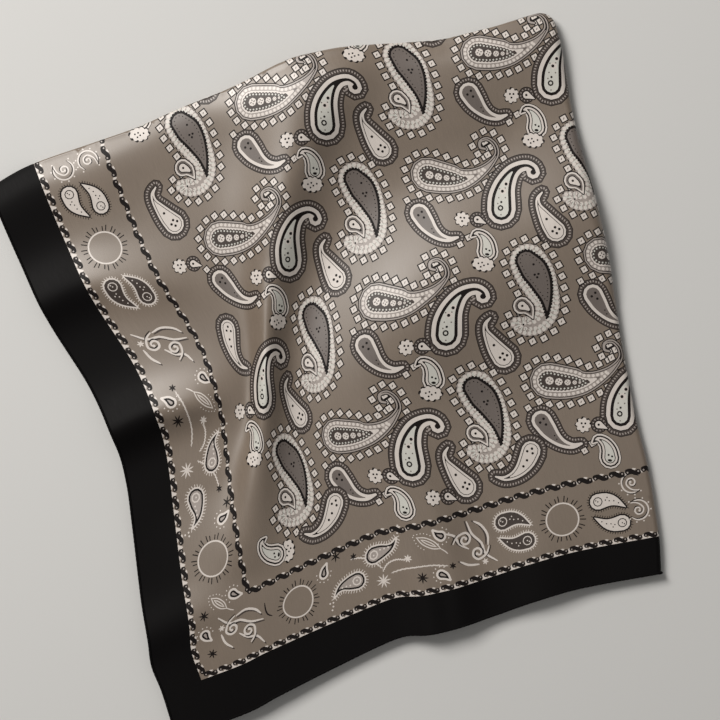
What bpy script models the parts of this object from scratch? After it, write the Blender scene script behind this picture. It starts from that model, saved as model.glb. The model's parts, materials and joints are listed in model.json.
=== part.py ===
"""A square satin scarf, folded in quarters and lying face up on a flat surface.

The scarf is folded in half under its top edge, then in half again under its right edge, so four layers
lie on each other. The uppermost is one wall of cloth, which rolls under at the two folds. The three
below it are one rounded solid with a flat underside, whose edges show their hems and their own fold.
A rolled hem runs along each free edge of the uppermost layer.

Places on the cloth are s, across from the left hem, and t, up from the bottom hem, both in millimetres.
"""

import math
from collections import namedtuple

import bmesh
import bpy
import numpy as np

MM = 0.001
MERGE_DISTANCE = 0.001 * MM

# Driving sizes, in millimetres.
SIDE = 450.0
WALL = 1.0
GAP = 0.35
STACK = 9.0
LOFT = 2.0
FOLD_RADIUS = 2.4
HEM_RADIUS = 1.2
HEM_CLEARANCE = 0.45

# At the two folds the cloth starts to roll a little before the middle of its full width.
ROLL_START = SIDE - FOLD_RADIUS * math.pi / 2

# Corners of the part of the quarter that lies face up, in plan, from the corner where the hems meet.
Corner = namedtuple("Corner", "x y")
BOTTOM_LEFT = Corner(0, 0)
BOTTOM_RIGHT = Corner(387, 10)
TOP_RIGHT = Corner(434, 440)
TOP_LEFT = Corner(-10, 443)

# How far each edge bows to the left of the line between its corners, by the share of its length.
Bow = namedtuple("Bow", "share offset")
LEFT_EDGE = [
    Bow(0.00, 0), Bow(0.08, -1), Bow(0.13, 0), Bow(0.175, -4), Bow(0.235, -8), Bow(0.28, -12),
    Bow(0.375, -21), Bow(0.445, -27), Bow(0.515, -29), Bow(0.62, -24), Bow(0.745, -11), Bow(0.87, -4),
    Bow(1.00, 0),
]
BOTTOM_EDGE = [
    Bow(0.00, 0), Bow(0.145, 2), Bow(0.21, 6), Bow(0.285, 10), Bow(0.345, 13), Bow(0.43, 17),
    Bow(0.487, 18), Bow(0.535, 13.5), Bow(0.595, 11), Bow(0.67, 10.5), Bow(0.75, 11), Bow(0.82, 10),
    Bow(0.885, 7), Bow(1.00, 0),
]
TOP_EDGE = [
    Bow(0.00, 0), Bow(0.075, 7), Bow(0.19, 9), Bow(0.27, 10.5), Bow(0.355, 15), Bow(0.455, 18),
    Bow(0.55, 23), Bow(0.605, 22), Bow(0.66, 19.5), Bow(0.737, 13), Bow(0.806, 6.6), Bow(0.842, 5),
    Bow(0.923, 3), Bow(1.00, 0),
]
RIGHT_EDGE = [
    Bow(0.00, 0), Bow(0.07, -4), Bow(0.185, -5.7), Bow(0.265, -4), Bow(0.35, -4), Bow(0.47, -5),
    Bow(0.535, -4.5), Bow(0.60, -2.6), Bow(0.66, -1.4), Bow(0.86, -1), Bow(1.00, 0),
]

# The cloth is a little full beside the two hems, and drawn to the left where the main ridge takes it up.
Slack = namedtuple("Slack", "amount reach")
LEFT_SLACK = Slack(7, 60)
BOTTOM_SLACK = Slack(-4, 60)
Tuck = namedtuple("Tuck", "amount s t left right reach edge")
TUCK = Tuck(amount=26, s=230, t=212, left=100, right=140, reach=75, edge=60)

# Each fold follows its crest through these sections. Left and right, as seen along the run of the
# sections, are the reaches of its two flanks.
Section = namedtuple("Section", "s t height left right")
FOLDS = {
    "main_ridge": [
        Section(92, 92, 0, 28, 30), Section(102, 128, 5, 26, 28), Section(114, 163, 9, 20, 26),
        Section(129, 197, 14, 15, 24), Section(144, 228, 17, 14, 22), Section(159, 262, 17, 17, 20),
        Section(177, 297, 16, 23, 20), Section(198, 328, 15, 28, 24), Section(217, 363, 13, 34, 32),
        Section(232, 405, 11, 40, 44), Section(256, 470, 8, 42, 55),
    ],
    "middle_swell": [
        Section(243, -12, 7, 16, 22), Section(243, 40, 6, 17, 24), Section(244, 84, 5, 20, 28),
        Section(245, 130, 5, 25, 36), Section(250, 172, 6, 32, 44), Section(262, 207, 8, 40, 54),
        Section(284, 236, 9, 44, 60), Section(319, 262, 8, 42, 62), Section(352, 292, 5, 40, 60),
        Section(392, 342, 0, 40, 60),
    ],
    "upper_hem_wave": [
        Section(-12, 347, 5, 28, 17), Section(40, 341, 5, 28, 17), Section(92, 326, 3, 28, 20),
        Section(135, 312, 0, 28, 20),
    ],
    "middle_hem_wave": [
        Section(-12, 237, 8, 30, 15), Section(30, 235, 8, 30, 14), Section(62, 234, 7, 28, 14),
        Section(92, 232, 4, 26, 16), Section(116, 226, 0, 24, 18),
    ],
    "lower_hem_wave": [
        Section(-12, 82, 4, 20, 18), Section(36, 85, 3, 20, 18), Section(84, 92, 0, 20, 18),
    ],
    "right_swell": [
        Section(462, 262, 5, 34, 40), Section(424, 304, 4, 34, 40), Section(388, 362, 0, 34, 40),
    ],
    "bottom_hem_wave": [
        Section(346, -12, 4, 26, 30), Section(346, 36, 3, 26, 30), Section(352, 86, 0, 26, 30),
    ],
}
STEPS_A_SECTION = 6

# Grid lines. Across, they crowd towards the main ridge's crest. Up, each stretch has its own count.
HIDDEN_INSET = 2.5
CORNER_LINE = 6.0
LINES_LEFT = 11
LINES_RIGHT = 14
CROWDING = 1.35
Stretch = namedtuple("Stretch", "start stop cells")
STRETCHES_UP = [
    Stretch(HIDDEN_INSET, 180, 9), Stretch(180, 260, 8), Stretch(260, ROLL_START - CORNER_LINE, 10),
]

# The roll at the folds, in steps round a half circle.
HALF_ROUND = [math.radians(angle) for angle in (60, 30, 0, -30, -60, -90)]
CORNER_TURN = 44.0
ROLL_INSET = 0.6
NOSE_REACH = 2.0
NOSE_FULL_HEIGHT = 3.0

# The rolled hems turn with the cloth round the folds, as far as where it stands upright.
HEM_TURN = [math.radians(angle) for angle in (30, 60, 90)]

# The three hidden hems: how far each reaches from the solid's edge, and how that wanders along it.
HiddenHem = namedtuple("HiddenHem", "reach wander wave phase")
HIDDEN_HEMS = [
    HiddenHem(1.9, 0.2, 90, 0.4), HiddenHem(3.7, 0.9, 130, 2.1), HiddenHem(3.1, 1.1, 170, 4.0),
]
HEM_ARC = [math.radians(angle) for angle in (65, 20, -20, -65)]
LAST_HEM_ARC = [math.radians(angle) for angle in (65, 20, -20, -90)]
HEM_CREASE = 0.5

# Finish: colour, roughness and metallic value.
Finish = namedtuple("Finish", "color roughness metallic")
TAUPE_SATIN = Finish((0.30, 0.25, 0.21, 1), 0.42, 0.0)
BLACK_SATIN = Finish((0.012, 0.011, 0.012, 1), 0.40, 0.0)


def smooth_step(value):
    """0 below 0, 1 above 1, and a soft S between."""
    value = np.clip(value, 0.0, 1.0)
    return value * value * (3 - 2 * value)


def smooth_curve(rows):
    """Points on a Catmull-Rom curve through a table's rows, as an array with the table's columns."""
    rows = np.array(rows, float)
    ends = np.vstack([2 * rows[0] - rows[1], rows, 2 * rows[-1] - rows[-2]])
    points = []
    for index in range(1, len(ends) - 2):
        before, start, stop, after = ends[index - 1:index + 3]
        for step in range(STEPS_A_SECTION):
            u = step / STEPS_A_SECTION
            slope = stop - before
            bend = 2 * before - 5 * start + 4 * stop - after
            twist = 3 * start - before - 3 * stop + after
            points.append(start + 0.5 * (slope * u + bend * u * u + twist * u ** 3))
    points.append(rows[-1])
    return np.array(points)


def edge_curve(start, stop, bows, share):
    """Plan points on one edge at these shares of its length."""
    run = np.subtract(stop, start)
    left = np.array([-run[1], run[0]]) / np.hypot(*run)
    table = smooth_curve(bows)
    offset = np.interp(share, table[:, 0], table[:, 1])
    return np.array(start) + np.multiply.outer(share, run) + np.multiply.outer(offset, left)


def fullness(place, slack):
    """How far the slack beside a hem moves the cloth, at this distance from the hem."""
    nearness = place / slack.reach
    return slack.amount * nearness * np.exp(1 - nearness)


def drawn(s, t):
    """How far the main ridge draws the cloth to the left."""
    reach = np.where(s < TUCK.s, TUCK.left, TUCK.right)
    pull = np.exp(-((s - TUCK.s) / reach) ** 2 - ((t - TUCK.t) / TUCK.reach) ** 2)
    return TUCK.amount * pull * smooth_step((ROLL_START - s) / TUCK.edge)


def plan(s, t):
    """Plan position of the cloth at s, t: a blend of the four edges, each point on its own share."""
    across = (s + fullness(s, LEFT_SLACK) - drawn(s, t)) / ROLL_START
    up = (t + fullness(t, BOTTOM_SLACK)) / ROLL_START
    sides = (
        (1 - across)[..., None] * edge_curve(BOTTOM_LEFT, TOP_LEFT, LEFT_EDGE, up)
        + across[..., None] * edge_curve(BOTTOM_RIGHT, TOP_RIGHT, RIGHT_EDGE, up)
        + (1 - up)[..., None] * edge_curve(BOTTOM_LEFT, BOTTOM_RIGHT, BOTTOM_EDGE, across)
        + up[..., None] * edge_curve(TOP_LEFT, TOP_RIGHT, TOP_EDGE, across)
    )
    corners = (
        np.multiply.outer((1 - across) * (1 - up), BOTTOM_LEFT)
        + np.multiply.outer(across * (1 - up), BOTTOM_RIGHT)
        + np.multiply.outer(across * up, TOP_RIGHT)
        + np.multiply.outer((1 - across) * up, TOP_LEFT)
    )
    return sides - corners


def fold_height(s, t, sections):
    """Height that one fold adds at s, t, from the nearest place on its crest."""
    crest = smooth_curve(sections)
    start, run = crest[:-1, :2], np.diff(crest[:, :2], axis=0)
    away = np.stack([s, t], axis=-1)[..., None, :] - start
    along = np.clip((away * run).sum(-1) / (run * run).sum(-1), 0, 1)
    offset = away - along[..., None] * run
    distance = np.hypot(offset[..., 0], offset[..., 1])
    nearest = distance.argmin(-1)[..., None]
    share = np.take_along_axis(along, nearest, -1)[..., 0]
    side = np.take_along_axis(run[:, 0] * away[..., 1] - run[:, 1] * away[..., 0], nearest, -1)[..., 0]
    place = nearest[..., 0]
    here = crest[place] + share[..., None] * (crest[place + 1] - crest[place])
    height, left, right = here[..., 2], here[..., 3], here[..., 4]
    reach = np.where(side > 0, left, right)
    return height * np.exp(-(distance.min(-1) / reach) ** 2)


def cloth_height(s, t):
    """Height of the uppermost layer's outer face over the surface that the scarf lies on."""
    loft = LOFT * np.sin(np.pi * s / SIDE) * np.sin(np.pi * t / SIDE)
    return STACK + loft + sum(fold_height(s, t, sections) for sections in FOLDS.values())


def cloth_grid():
    """s and t of the grid's points. One line of points follows the main ridge's crest."""
    rows = [0.0]
    for stretch in STRETCHES_UP:
        rows += list(np.linspace(stretch.start, stretch.stop, stretch.cells, endpoint=False))
    rows += [ROLL_START - CORNER_LINE, ROLL_START]
    ridge = smooth_curve(FOLDS["main_ridge"])
    crest = np.interp(rows, ridge[:, 1], ridge[:, 0])
    left_shares = 1 - (1 - np.arange(LINES_LEFT) / LINES_LEFT) ** CROWDING
    right_shares = (np.arange(LINES_RIGHT + 1) / LINES_RIGHT) ** CROWDING
    left = HIDDEN_INSET + np.outer(left_shares, crest - HIDDEN_INSET)
    right = crest + np.outer(right_shares, ROLL_START - CORNER_LINE - crest)
    edge = np.zeros((1, len(rows)))
    s = np.vstack([edge, left, right, edge + ROLL_START])
    t = np.broadcast_to(rows, s.shape)
    return s, t


def boundary(columns, rows):
    """Grid indices round the edge, anticlockwise from the corner where the hems meet."""
    bottom = [(i, 0) for i in range(columns - 1)]
    right = [(columns - 1, j) for j in range(rows - 1)]
    top = [(i, rows - 1) for i in range(columns - 1, 0, -1)]
    left = [(0, j) for j in range(rows - 1, 0, -1)]
    return bottom + right + top + left


def outward(points, closed):
    """Unit directions in plan out of an edge that runs anticlockwise."""
    flat = points[:, :2]
    if closed:
        legs = np.roll(flat, -1, axis=0) - flat
        before = np.roll(legs, 1, axis=0)
    else:
        legs = np.vstack([np.diff(flat, axis=0), flat[-1:] - flat[-2:-1]])
        before = np.vstack([legs[:1], legs[:-1]])
    legs = legs / np.hypot(legs[:, 0], legs[:, 1])[:, None]
    before = before / np.hypot(before[:, 0], before[:, 1])[:, None]
    normal = np.stack([legs[:, 1] + before[:, 1], -legs[:, 0] - before[:, 0]], axis=1)
    return normal / np.hypot(normal[:, 0], normal[:, 1])[:, None]


def roll_radius(s, on_right, height):
    """Radius of the uppermost layer's roll. It grows to take in the whole stack at the right fold."""
    whole = height / 2
    turn = 1.0 if on_right else float(smooth_step((s - ROLL_START + CORNER_TURN) / CORNER_TURN))
    return FOLD_RADIUS + (whole - FOLD_RADIUS) * turn


def half_round(reach, middle, out, up):
    """Reach and height round half an ellipse that bulges out, from its top to its foot."""
    return [(reach + out * math.cos(angle), middle + up * math.sin(angle)) for angle in HALF_ROUND]


def roll_profile(height, radius):
    """Reach and height round the uppermost layer's roll, from its flat part to where it ends below."""
    return half_round(0.0, height - radius, radius, radius)


def fold_profile(height, radius):
    """Reach and height round the hidden solid's edge at a fold: the tongue inside the roll, the groove
    where the roll ends, and the nose of the two lowest layers' own fold."""
    inner = radius - WALL - GAP
    under = height - 2 * radius
    seat = max(under - GAP, 0.0)
    groove = ROLL_INSET - GAP
    nose = NOSE_REACH * min(seat / NOSE_FULL_HEIGHT, 1.0)
    tongue_rows = half_round(ROLL_INSET, height - radius, inner, inner)
    groove_rows = [(groove, under + WALL + GAP), (groove, seat)]
    return tongue_rows + groove_rows + half_round(groove, seat / 2, nose, seat / 2)


def hem_profile(top, along):
    """Reach and height down the three hidden hems, at this distance along the edge."""
    half = top / len(HIDDEN_HEMS) / 2
    turns = [2 * math.pi * along / hem.wave + hem.phase for hem in HIDDEN_HEMS]
    reaches = [hem.reach + hem.wander * math.sin(turn) for hem, turn in zip(HIDDEN_HEMS, turns)]
    rows = []
    for index, reach in enumerate(reaches):
        middle = top - half * (2 * index + 1)
        last = index == len(reaches) - 1
        for angle in LAST_HEM_ARC if last else HEM_ARC:
            rows.append((max(reach - half * (1 - math.cos(angle)), 0.0), middle + half * math.sin(angle)))
        if not last:
            crease = min(reach, reaches[index + 1]) - half - HEM_CREASE
            rows.append((max(crease, 0.0), middle - half))
    return rows


def grid_triangles(index):
    """Triangles over a grid of vertex indices, facing up."""
    triangles = []
    for i in range(index.shape[0] - 1):
        for j in range(index.shape[1] - 1):
            triangles.append((index[i, j], index[i + 1, j], index[i + 1, j + 1]))
            triangles.append((index[i, j], index[i + 1, j + 1], index[i, j + 1]))
    return triangles


def rim_triangles(rings, closed):
    """Triangles between rings of vertex indices, facing out. The first ring is the grid's own edge."""
    triangles = []
    for ring, lower in zip(rings, rings[1:]):
        for k in range(len(ring) if closed else len(ring) - 1):
            after = (k + 1) % len(ring)
            triangles.append((ring[k], lower[k], lower[after]))
            triangles.append((ring[k], lower[after], ring[after]))
    return triangles


def swept(edge, directions, profiles):
    """Rings of points: each edge point with its profile, laid out along its direction."""
    rings = []
    for reach_height in zip(*profiles):
        reach, height = np.array(reach_height).T
        rings.append(np.column_stack([edge[:, :2] + directions * reach[:, None], height]))
    return rings


def mesh_object(name, points, faces, finish, collection):
    """A mesh object from points in millimetres, with coincident points joined."""
    bm = bmesh.new()
    vertices = [bm.verts.new([value * MM for value in point]) for point in points]
    for face in faces:
        bm.faces.new([vertices[index] for index in face])
    bmesh.ops.remove_doubles(bm, verts=bm.verts, dist=MERGE_DISTANCE)
    bm.normal_update()
    mesh = bpy.data.meshes.new(name)
    bm.to_mesh(mesh)
    bm.free()
    mesh.shade_smooth()
    obj = bpy.data.objects.new(name, mesh)
    collection.objects.link(obj)
    obj.data.materials.append(satin(name + "_satin", finish))
    return obj


def satin(name, finish):
    material = bpy.data.materials.new(name)
    material.use_nodes = True
    shader = material.node_tree.nodes["Principled BSDF"]
    shader.inputs["Base Color"].default_value = finish.color
    shader.inputs["Roughness"].default_value = finish.roughness
    shader.inputs["Metallic"].default_value = finish.metallic
    return material


def fold_edge(grid, s):
    """The edge along the right and top folds: its grid indices, directions out of it and roll radii."""
    columns, rows = s.shape
    folded = boundary(columns, rows)[columns - 1:2 * columns + rows - 2]
    directions = outward(np.array([grid[place] for place in folded]), closed=False)
    radii = [roll_radius(s[place], place[0] == columns - 1, grid[place][2]) for place in folded]
    return folded, directions, radii


def swept_faces(index, loop, rings, closed):
    """Triangles of a grid and of the rings swept from its edge, and the indices of the last ring."""
    ring_indices = [[index[place] for place in loop]]
    for number in range(len(rings)):
        first = index.size + number * len(loop)
        ring_indices.append(list(range(first, first + len(loop))))
    return grid_triangles(index) + rim_triangles(ring_indices, closed), ring_indices[-1]


def add_top_layer(grid, s, collection):
    """The uppermost layer: an open surface, thickened inwards, rolled under at the right and top folds."""
    folded, directions, radii = fold_edge(grid, s)
    edge = np.array([grid[place] for place in folded])
    rings = swept(edge, directions, [roll_profile(point[2], radius) for point, radius in zip(edge, radii)])
    index = np.arange(s.size).reshape(s.shape)
    faces, _ = swept_faces(index, folded, rings, closed=False)
    points = np.vstack([grid.reshape(-1, 3)] + rings)
    layer = mesh_object("top_layer", points, faces, TAUPE_SATIN, collection)
    thickness = layer.modifiers.new("wall", "SOLIDIFY")
    thickness.thickness = WALL * MM
    thickness.offset = -1
    return layer


def add_hidden_layers(grid, normals, s, collection):
    """The three lower layers as one solid, made from the uppermost layer's points moved in."""
    lower = (grid - normals * (WALL + GAP))[1:, 1:]
    columns, rows = lower.shape[:2]
    loop = boundary(columns, rows)
    upper_edge = np.array([grid[i + 1, j + 1] for i, j in loop])
    directions = outward(upper_edge, closed=True)
    along = np.concatenate([[0], np.cumsum(np.hypot(*np.diff(upper_edge[:, :2], axis=0).T))])
    profiles = []
    for (i, j), point, distance, direction in zip(loop, upper_edge, along, directions):
        on_right = i == columns - 1
        if on_right or j == rows - 1:
            lower[i, j, :2] = point[:2] - direction * ROLL_INSET
            lower[i, j, 2] = point[2] - WALL - GAP
            profiles.append(fold_profile(point[2], roll_radius(s[i + 1, j + 1], on_right, point[2])))
        else:
            profiles.append(hem_profile(lower[i, j, 2], distance))
    rings = swept(np.array([lower[place] for place in loop]), directions, profiles)
    index = np.arange(columns * rows).reshape(columns, rows)
    faces, underside = swept_faces(index, loop, rings, closed=True)
    faces.append(tuple(reversed(underside)))
    points = np.vstack([lower.reshape(-1, 3)] + rings)
    return mesh_object("hidden_layers", points, faces, BLACK_SATIN, collection)


def hem_middle(edge, normals):
    """Middle line of a rolled hem that lies beside an edge of the wall, which runs anticlockwise."""
    legs = np.gradient(edge, axis=0)
    beside = np.cross(legs, normals)
    beside *= (HEM_RADIUS + HEM_CLEARANCE) / np.linalg.norm(beside, axis=1)[:, None]
    return edge - normals * WALL / 2 + beside, beside


def hem_round_fold(point, direction, radius, beside):
    """The hem's middle line on round a fold, to where the cloth stands upright."""
    middle = radius - WALL / 2
    return [
        point + beside + (*(direction * middle * math.sin(angle)), middle * math.cos(angle) - radius)
        for angle in HEM_TURN
    ]


def add_hem(name, route, collection):
    """A rolled hem: a round cord of cloth along its route."""
    curve = bpy.data.curves.new(name, "CURVE")
    curve.dimensions = "3D"
    curve.bevel_depth = HEM_RADIUS * MM
    curve.bevel_resolution = 2
    curve.use_fill_caps = True
    spline = curve.splines.new("POLY")
    spline.points.add(len(route) - 1)
    for place, point in zip(spline.points, route):
        place.co = (*(value * MM for value in point), 1)
    hem = bpy.data.objects.new(name, curve)
    hem.data.materials.append(satin(name + "_satin", BLACK_SATIN))
    collection.objects.link(hem)


def add_hems(grid, normals, s, collection):
    """The hems of the two free edges. The left one runs on past the corner, and the other meets it."""
    _, directions, radii = fold_edge(grid, s)
    bottom, beside = hem_middle(grid[:, 0], normals[:, 0])
    right_turn = hem_round_fold(grid[-1, 0], directions[0], radii[0], beside[-1])
    add_hem("hem_bottom", [*bottom, *right_turn], collection)
    left, beside = hem_middle(grid[0, ::-1], normals[0, ::-1])
    top_turn = hem_round_fold(grid[0, -1], directions[-1], radii[-1], beside[0])
    run = left[-1] - left[-2]
    corner = left[-1] + run / np.linalg.norm(run) * (2 * HEM_RADIUS + HEM_CLEARANCE)
    add_hem("hem_left", [*reversed(top_turn), *left, corner], collection)


def centre_in_plan(objects):
    """Moves the objects so that the middle of their common box is over the origin."""
    bpy.context.view_layer.update()
    graph = bpy.context.evaluated_depsgraph_get()
    points = []
    for obj in objects:
        evaluated = obj.evaluated_get(graph)
        points += [vertex.co[:] for vertex in evaluated.to_mesh().vertices]
        evaluated.to_mesh_clear()
    middle = (np.min(points, axis=0) + np.max(points, axis=0)) / 2
    for obj in objects:
        obj.location = (-middle[0], -middle[1], 0)
    print("middle of the box in plan, mm:", *(middle[:2] / MM).round(2))


def surface_normals(grid):
    """Unit normals of the surface at the grid's points, facing up."""
    index = np.arange(grid[..., 0].size).reshape(grid.shape[:2])
    points = grid.reshape(-1, 3)
    normals = np.zeros_like(points)
    for face in grid_triangles(index):
        a, b, c = points[list(face)]
        facing = np.cross(b - a, c - a)
        facing /= np.linalg.norm(facing)
        for first, second, third in ((0, 1, 2), (1, 2, 0), (2, 0, 1)):
            here = points[face[first]]
            one = points[face[second]] - here
            other = points[face[third]] - here
            cosine = one @ other / (np.linalg.norm(one) * np.linalg.norm(other))
            normals[face[first]] += facing * math.acos(min(max(cosine, -1.0), 1.0))
    normals /= np.linalg.norm(normals, axis=1)[:, None]
    return normals.reshape(grid.shape)


def main():
    for obj in list(bpy.data.objects):
        bpy.data.objects.remove(obj, do_unlink=True)
    collection = bpy.data.collections.new("paisley_scarf")
    bpy.context.scene.collection.children.link(collection)
    s, t = cloth_grid()
    grid = np.concatenate([plan(s, t), cloth_height(s, t)[..., None]], axis=-1)
    normals = surface_normals(grid)
    add_top_layer(grid, s, collection)
    add_hidden_layers(grid, normals, s, collection)
    add_hems(grid, normals, s, collection)
    centre_in_plan(list(collection.objects))


main()
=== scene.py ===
"""A square satin scarf, folded in quarters and lying face up on a pale floor.

Places on the cloth are s, across from the left hem, and t, up from the bottom hem, both in millimetres.
Four layers of the one square lie on each other. The first and second are joined at the top fold, as are
the third and fourth. The first and fourth are joined at the right fold, as are the second and third.
The print is drawn flat, as filled outlines, and then laid on the form of the cloth.
"""

import json
import math
from collections import namedtuple
from functools import partial

import bpy
import numpy as np
from mathutils.geometry import delaunay_2d_cdt
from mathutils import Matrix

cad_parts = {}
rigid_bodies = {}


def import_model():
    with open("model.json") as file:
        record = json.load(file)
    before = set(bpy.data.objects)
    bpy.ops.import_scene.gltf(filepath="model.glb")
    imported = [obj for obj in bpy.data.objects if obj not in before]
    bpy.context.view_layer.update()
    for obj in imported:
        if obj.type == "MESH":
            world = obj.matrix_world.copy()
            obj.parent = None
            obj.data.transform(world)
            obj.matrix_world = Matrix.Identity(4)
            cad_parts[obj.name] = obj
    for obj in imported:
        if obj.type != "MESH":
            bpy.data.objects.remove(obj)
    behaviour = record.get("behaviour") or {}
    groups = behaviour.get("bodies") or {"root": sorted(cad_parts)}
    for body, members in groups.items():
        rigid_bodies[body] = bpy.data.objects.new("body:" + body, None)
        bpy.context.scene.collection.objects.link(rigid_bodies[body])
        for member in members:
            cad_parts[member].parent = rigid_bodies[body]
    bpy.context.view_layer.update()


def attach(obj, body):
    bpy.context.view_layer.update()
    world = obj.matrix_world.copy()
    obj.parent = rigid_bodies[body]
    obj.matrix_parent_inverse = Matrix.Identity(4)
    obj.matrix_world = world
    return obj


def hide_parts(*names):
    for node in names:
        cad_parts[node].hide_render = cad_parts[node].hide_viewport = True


MM = 0.001

# Sizes of the folded scarf, in millimetres.
SIDE = 450.0
STACK = 9.0
LOFT = 2.0
BASE = 0.6
THICKNESS = 0.5
FOLD_RADIUS = 2.4
ROLL_START = SIDE - FOLD_RADIUS * math.pi / 2
CORNER_LINE = 6.0
CORNER_TURN = 44.0
TAIL = 1.5
MIDDLE = (212.40, 231.99)

# Corners of the part of the quarter that lies face up, in plan, from the corner where the hems meet.
Corner = namedtuple("Corner", "x y")
BOTTOM_LEFT = Corner(0, 0)
BOTTOM_RIGHT = Corner(387, 10)
TOP_RIGHT = Corner(434, 440)
TOP_LEFT = Corner(-10, 443)

# How far each edge bows to the left of the line between its corners, by the share of its length.
Bow = namedtuple("Bow", "share offset")
LEFT_EDGE = [
    Bow(0.00, 0), Bow(0.08, -1), Bow(0.13, 0), Bow(0.175, -4), Bow(0.235, -8), Bow(0.28, -12),
    Bow(0.375, -21), Bow(0.445, -27), Bow(0.515, -29), Bow(0.62, -24), Bow(0.745, -11), Bow(0.87, -4),
    Bow(1.00, 0),
]
BOTTOM_EDGE = [
    Bow(0.00, 0), Bow(0.145, 2), Bow(0.21, 6), Bow(0.285, 10), Bow(0.345, 13), Bow(0.43, 17),
    Bow(0.487, 18), Bow(0.535, 13.5), Bow(0.595, 11), Bow(0.67, 10.5), Bow(0.75, 11), Bow(0.82, 10),
    Bow(0.885, 7), Bow(1.00, 0),
]
TOP_EDGE = [
    Bow(0.00, 0), Bow(0.075, 7), Bow(0.19, 9), Bow(0.27, 10.5), Bow(0.355, 15), Bow(0.455, 18),
    Bow(0.55, 23), Bow(0.605, 22), Bow(0.66, 19.5), Bow(0.737, 13), Bow(0.806, 6.6), Bow(0.842, 5),
    Bow(0.923, 3), Bow(1.00, 0),
]
RIGHT_EDGE = [
    Bow(0.00, 0), Bow(0.07, -4), Bow(0.185, -5.7), Bow(0.265, -4), Bow(0.35, -4), Bow(0.47, -5),
    Bow(0.535, -4.5), Bow(0.60, -2.6), Bow(0.66, -1.4), Bow(0.86, -1), Bow(1.00, 0),
]

# The cloth is a little full beside the two hems, and drawn to the left where the main ridge takes it up.
Slack = namedtuple("Slack", "amount reach")
LEFT_SLACK = Slack(7, 60)
BOTTOM_SLACK = Slack(-4, 60)
Tuck = namedtuple("Tuck", "amount s t left right reach edge")
TUCK = Tuck(amount=26, s=230, t=212, left=100, right=140, reach=75, edge=60)

# Places where the cloth lies a little further across or up than the rest of the map has it.
Nudge = namedtuple("Nudge", "across up s t reach_s reach_t")
NUDGES = [
    Nudge(across=8, up=0, s=80, t=262, reach_s=55, reach_t=62),
    Nudge(across=-3, up=7, s=35, t=36, reach_s=150, reach_t=36),
]
NUDGE_EDGE = 30

# Each fold follows its crest through these sections. Left and right, as seen along the run of the
# sections, are the reaches of its two flanks. A trough has heights below zero.
Section = namedtuple("Section", "s t height left right")
FOLDS = {
    "main_ridge": [
        Section(92, 92, 0, 28, 30), Section(102, 128, 5, 26, 28), Section(114, 163, 9, 18, 26),
        Section(129, 197, 14, 12, 24), Section(144, 228, 17, 10, 22), Section(159, 262, 17, 12, 20),
        Section(177, 297, 16, 19, 20), Section(198, 328, 15, 28, 24), Section(217, 363, 13, 34, 32),
        Section(232, 405, 11, 40, 44), Section(256, 470, 8, 42, 55),
    ],
    "middle_swell": [
        Section(243, -12, 7, 16, 22), Section(243, 40, 6, 17, 24), Section(244, 84, 5, 20, 28),
        Section(245, 130, 5, 25, 36), Section(250, 172, 6, 32, 44), Section(262, 207, 8, 40, 54),
        Section(284, 236, 9, 44, 60), Section(319, 262, 8, 42, 62), Section(352, 292, 5, 40, 60),
        Section(392, 342, 0, 40, 60),
    ],
    "upper_hem_wave": [
        Section(-12, 347, 5, 28, 17), Section(40, 341, 5, 28, 17), Section(92, 326, 3, 28, 20),
        Section(135, 312, 0, 28, 20),
    ],
    "middle_hem_wave": [
        Section(-12, 237, 8, 30, 15), Section(30, 235, 8, 30, 14), Section(62, 234, 7, 28, 14),
        Section(92, 232, 4, 26, 16), Section(116, 226, 0, 24, 18),
    ],
    "lower_hem_wave": [
        Section(-12, 82, 4, 20, 18), Section(36, 85, 3, 20, 18), Section(84, 92, 0, 20, 18),
    ],
    "right_swell": [
        Section(462, 262, 5, 34, 40), Section(424, 304, 4, 34, 40), Section(388, 362, 0, 34, 40),
    ],
    "bottom_hem_wave": [
        Section(346, -12, 4, 26, 30), Section(346, 36, 3, 26, 30), Section(352, 86, 0, 26, 30),
    ],
}
STEPS_A_SECTION = 10
FIELD_START = -25.0
FIELD_STEP = 2.5
FIELD_SOFTENING = 5

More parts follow.
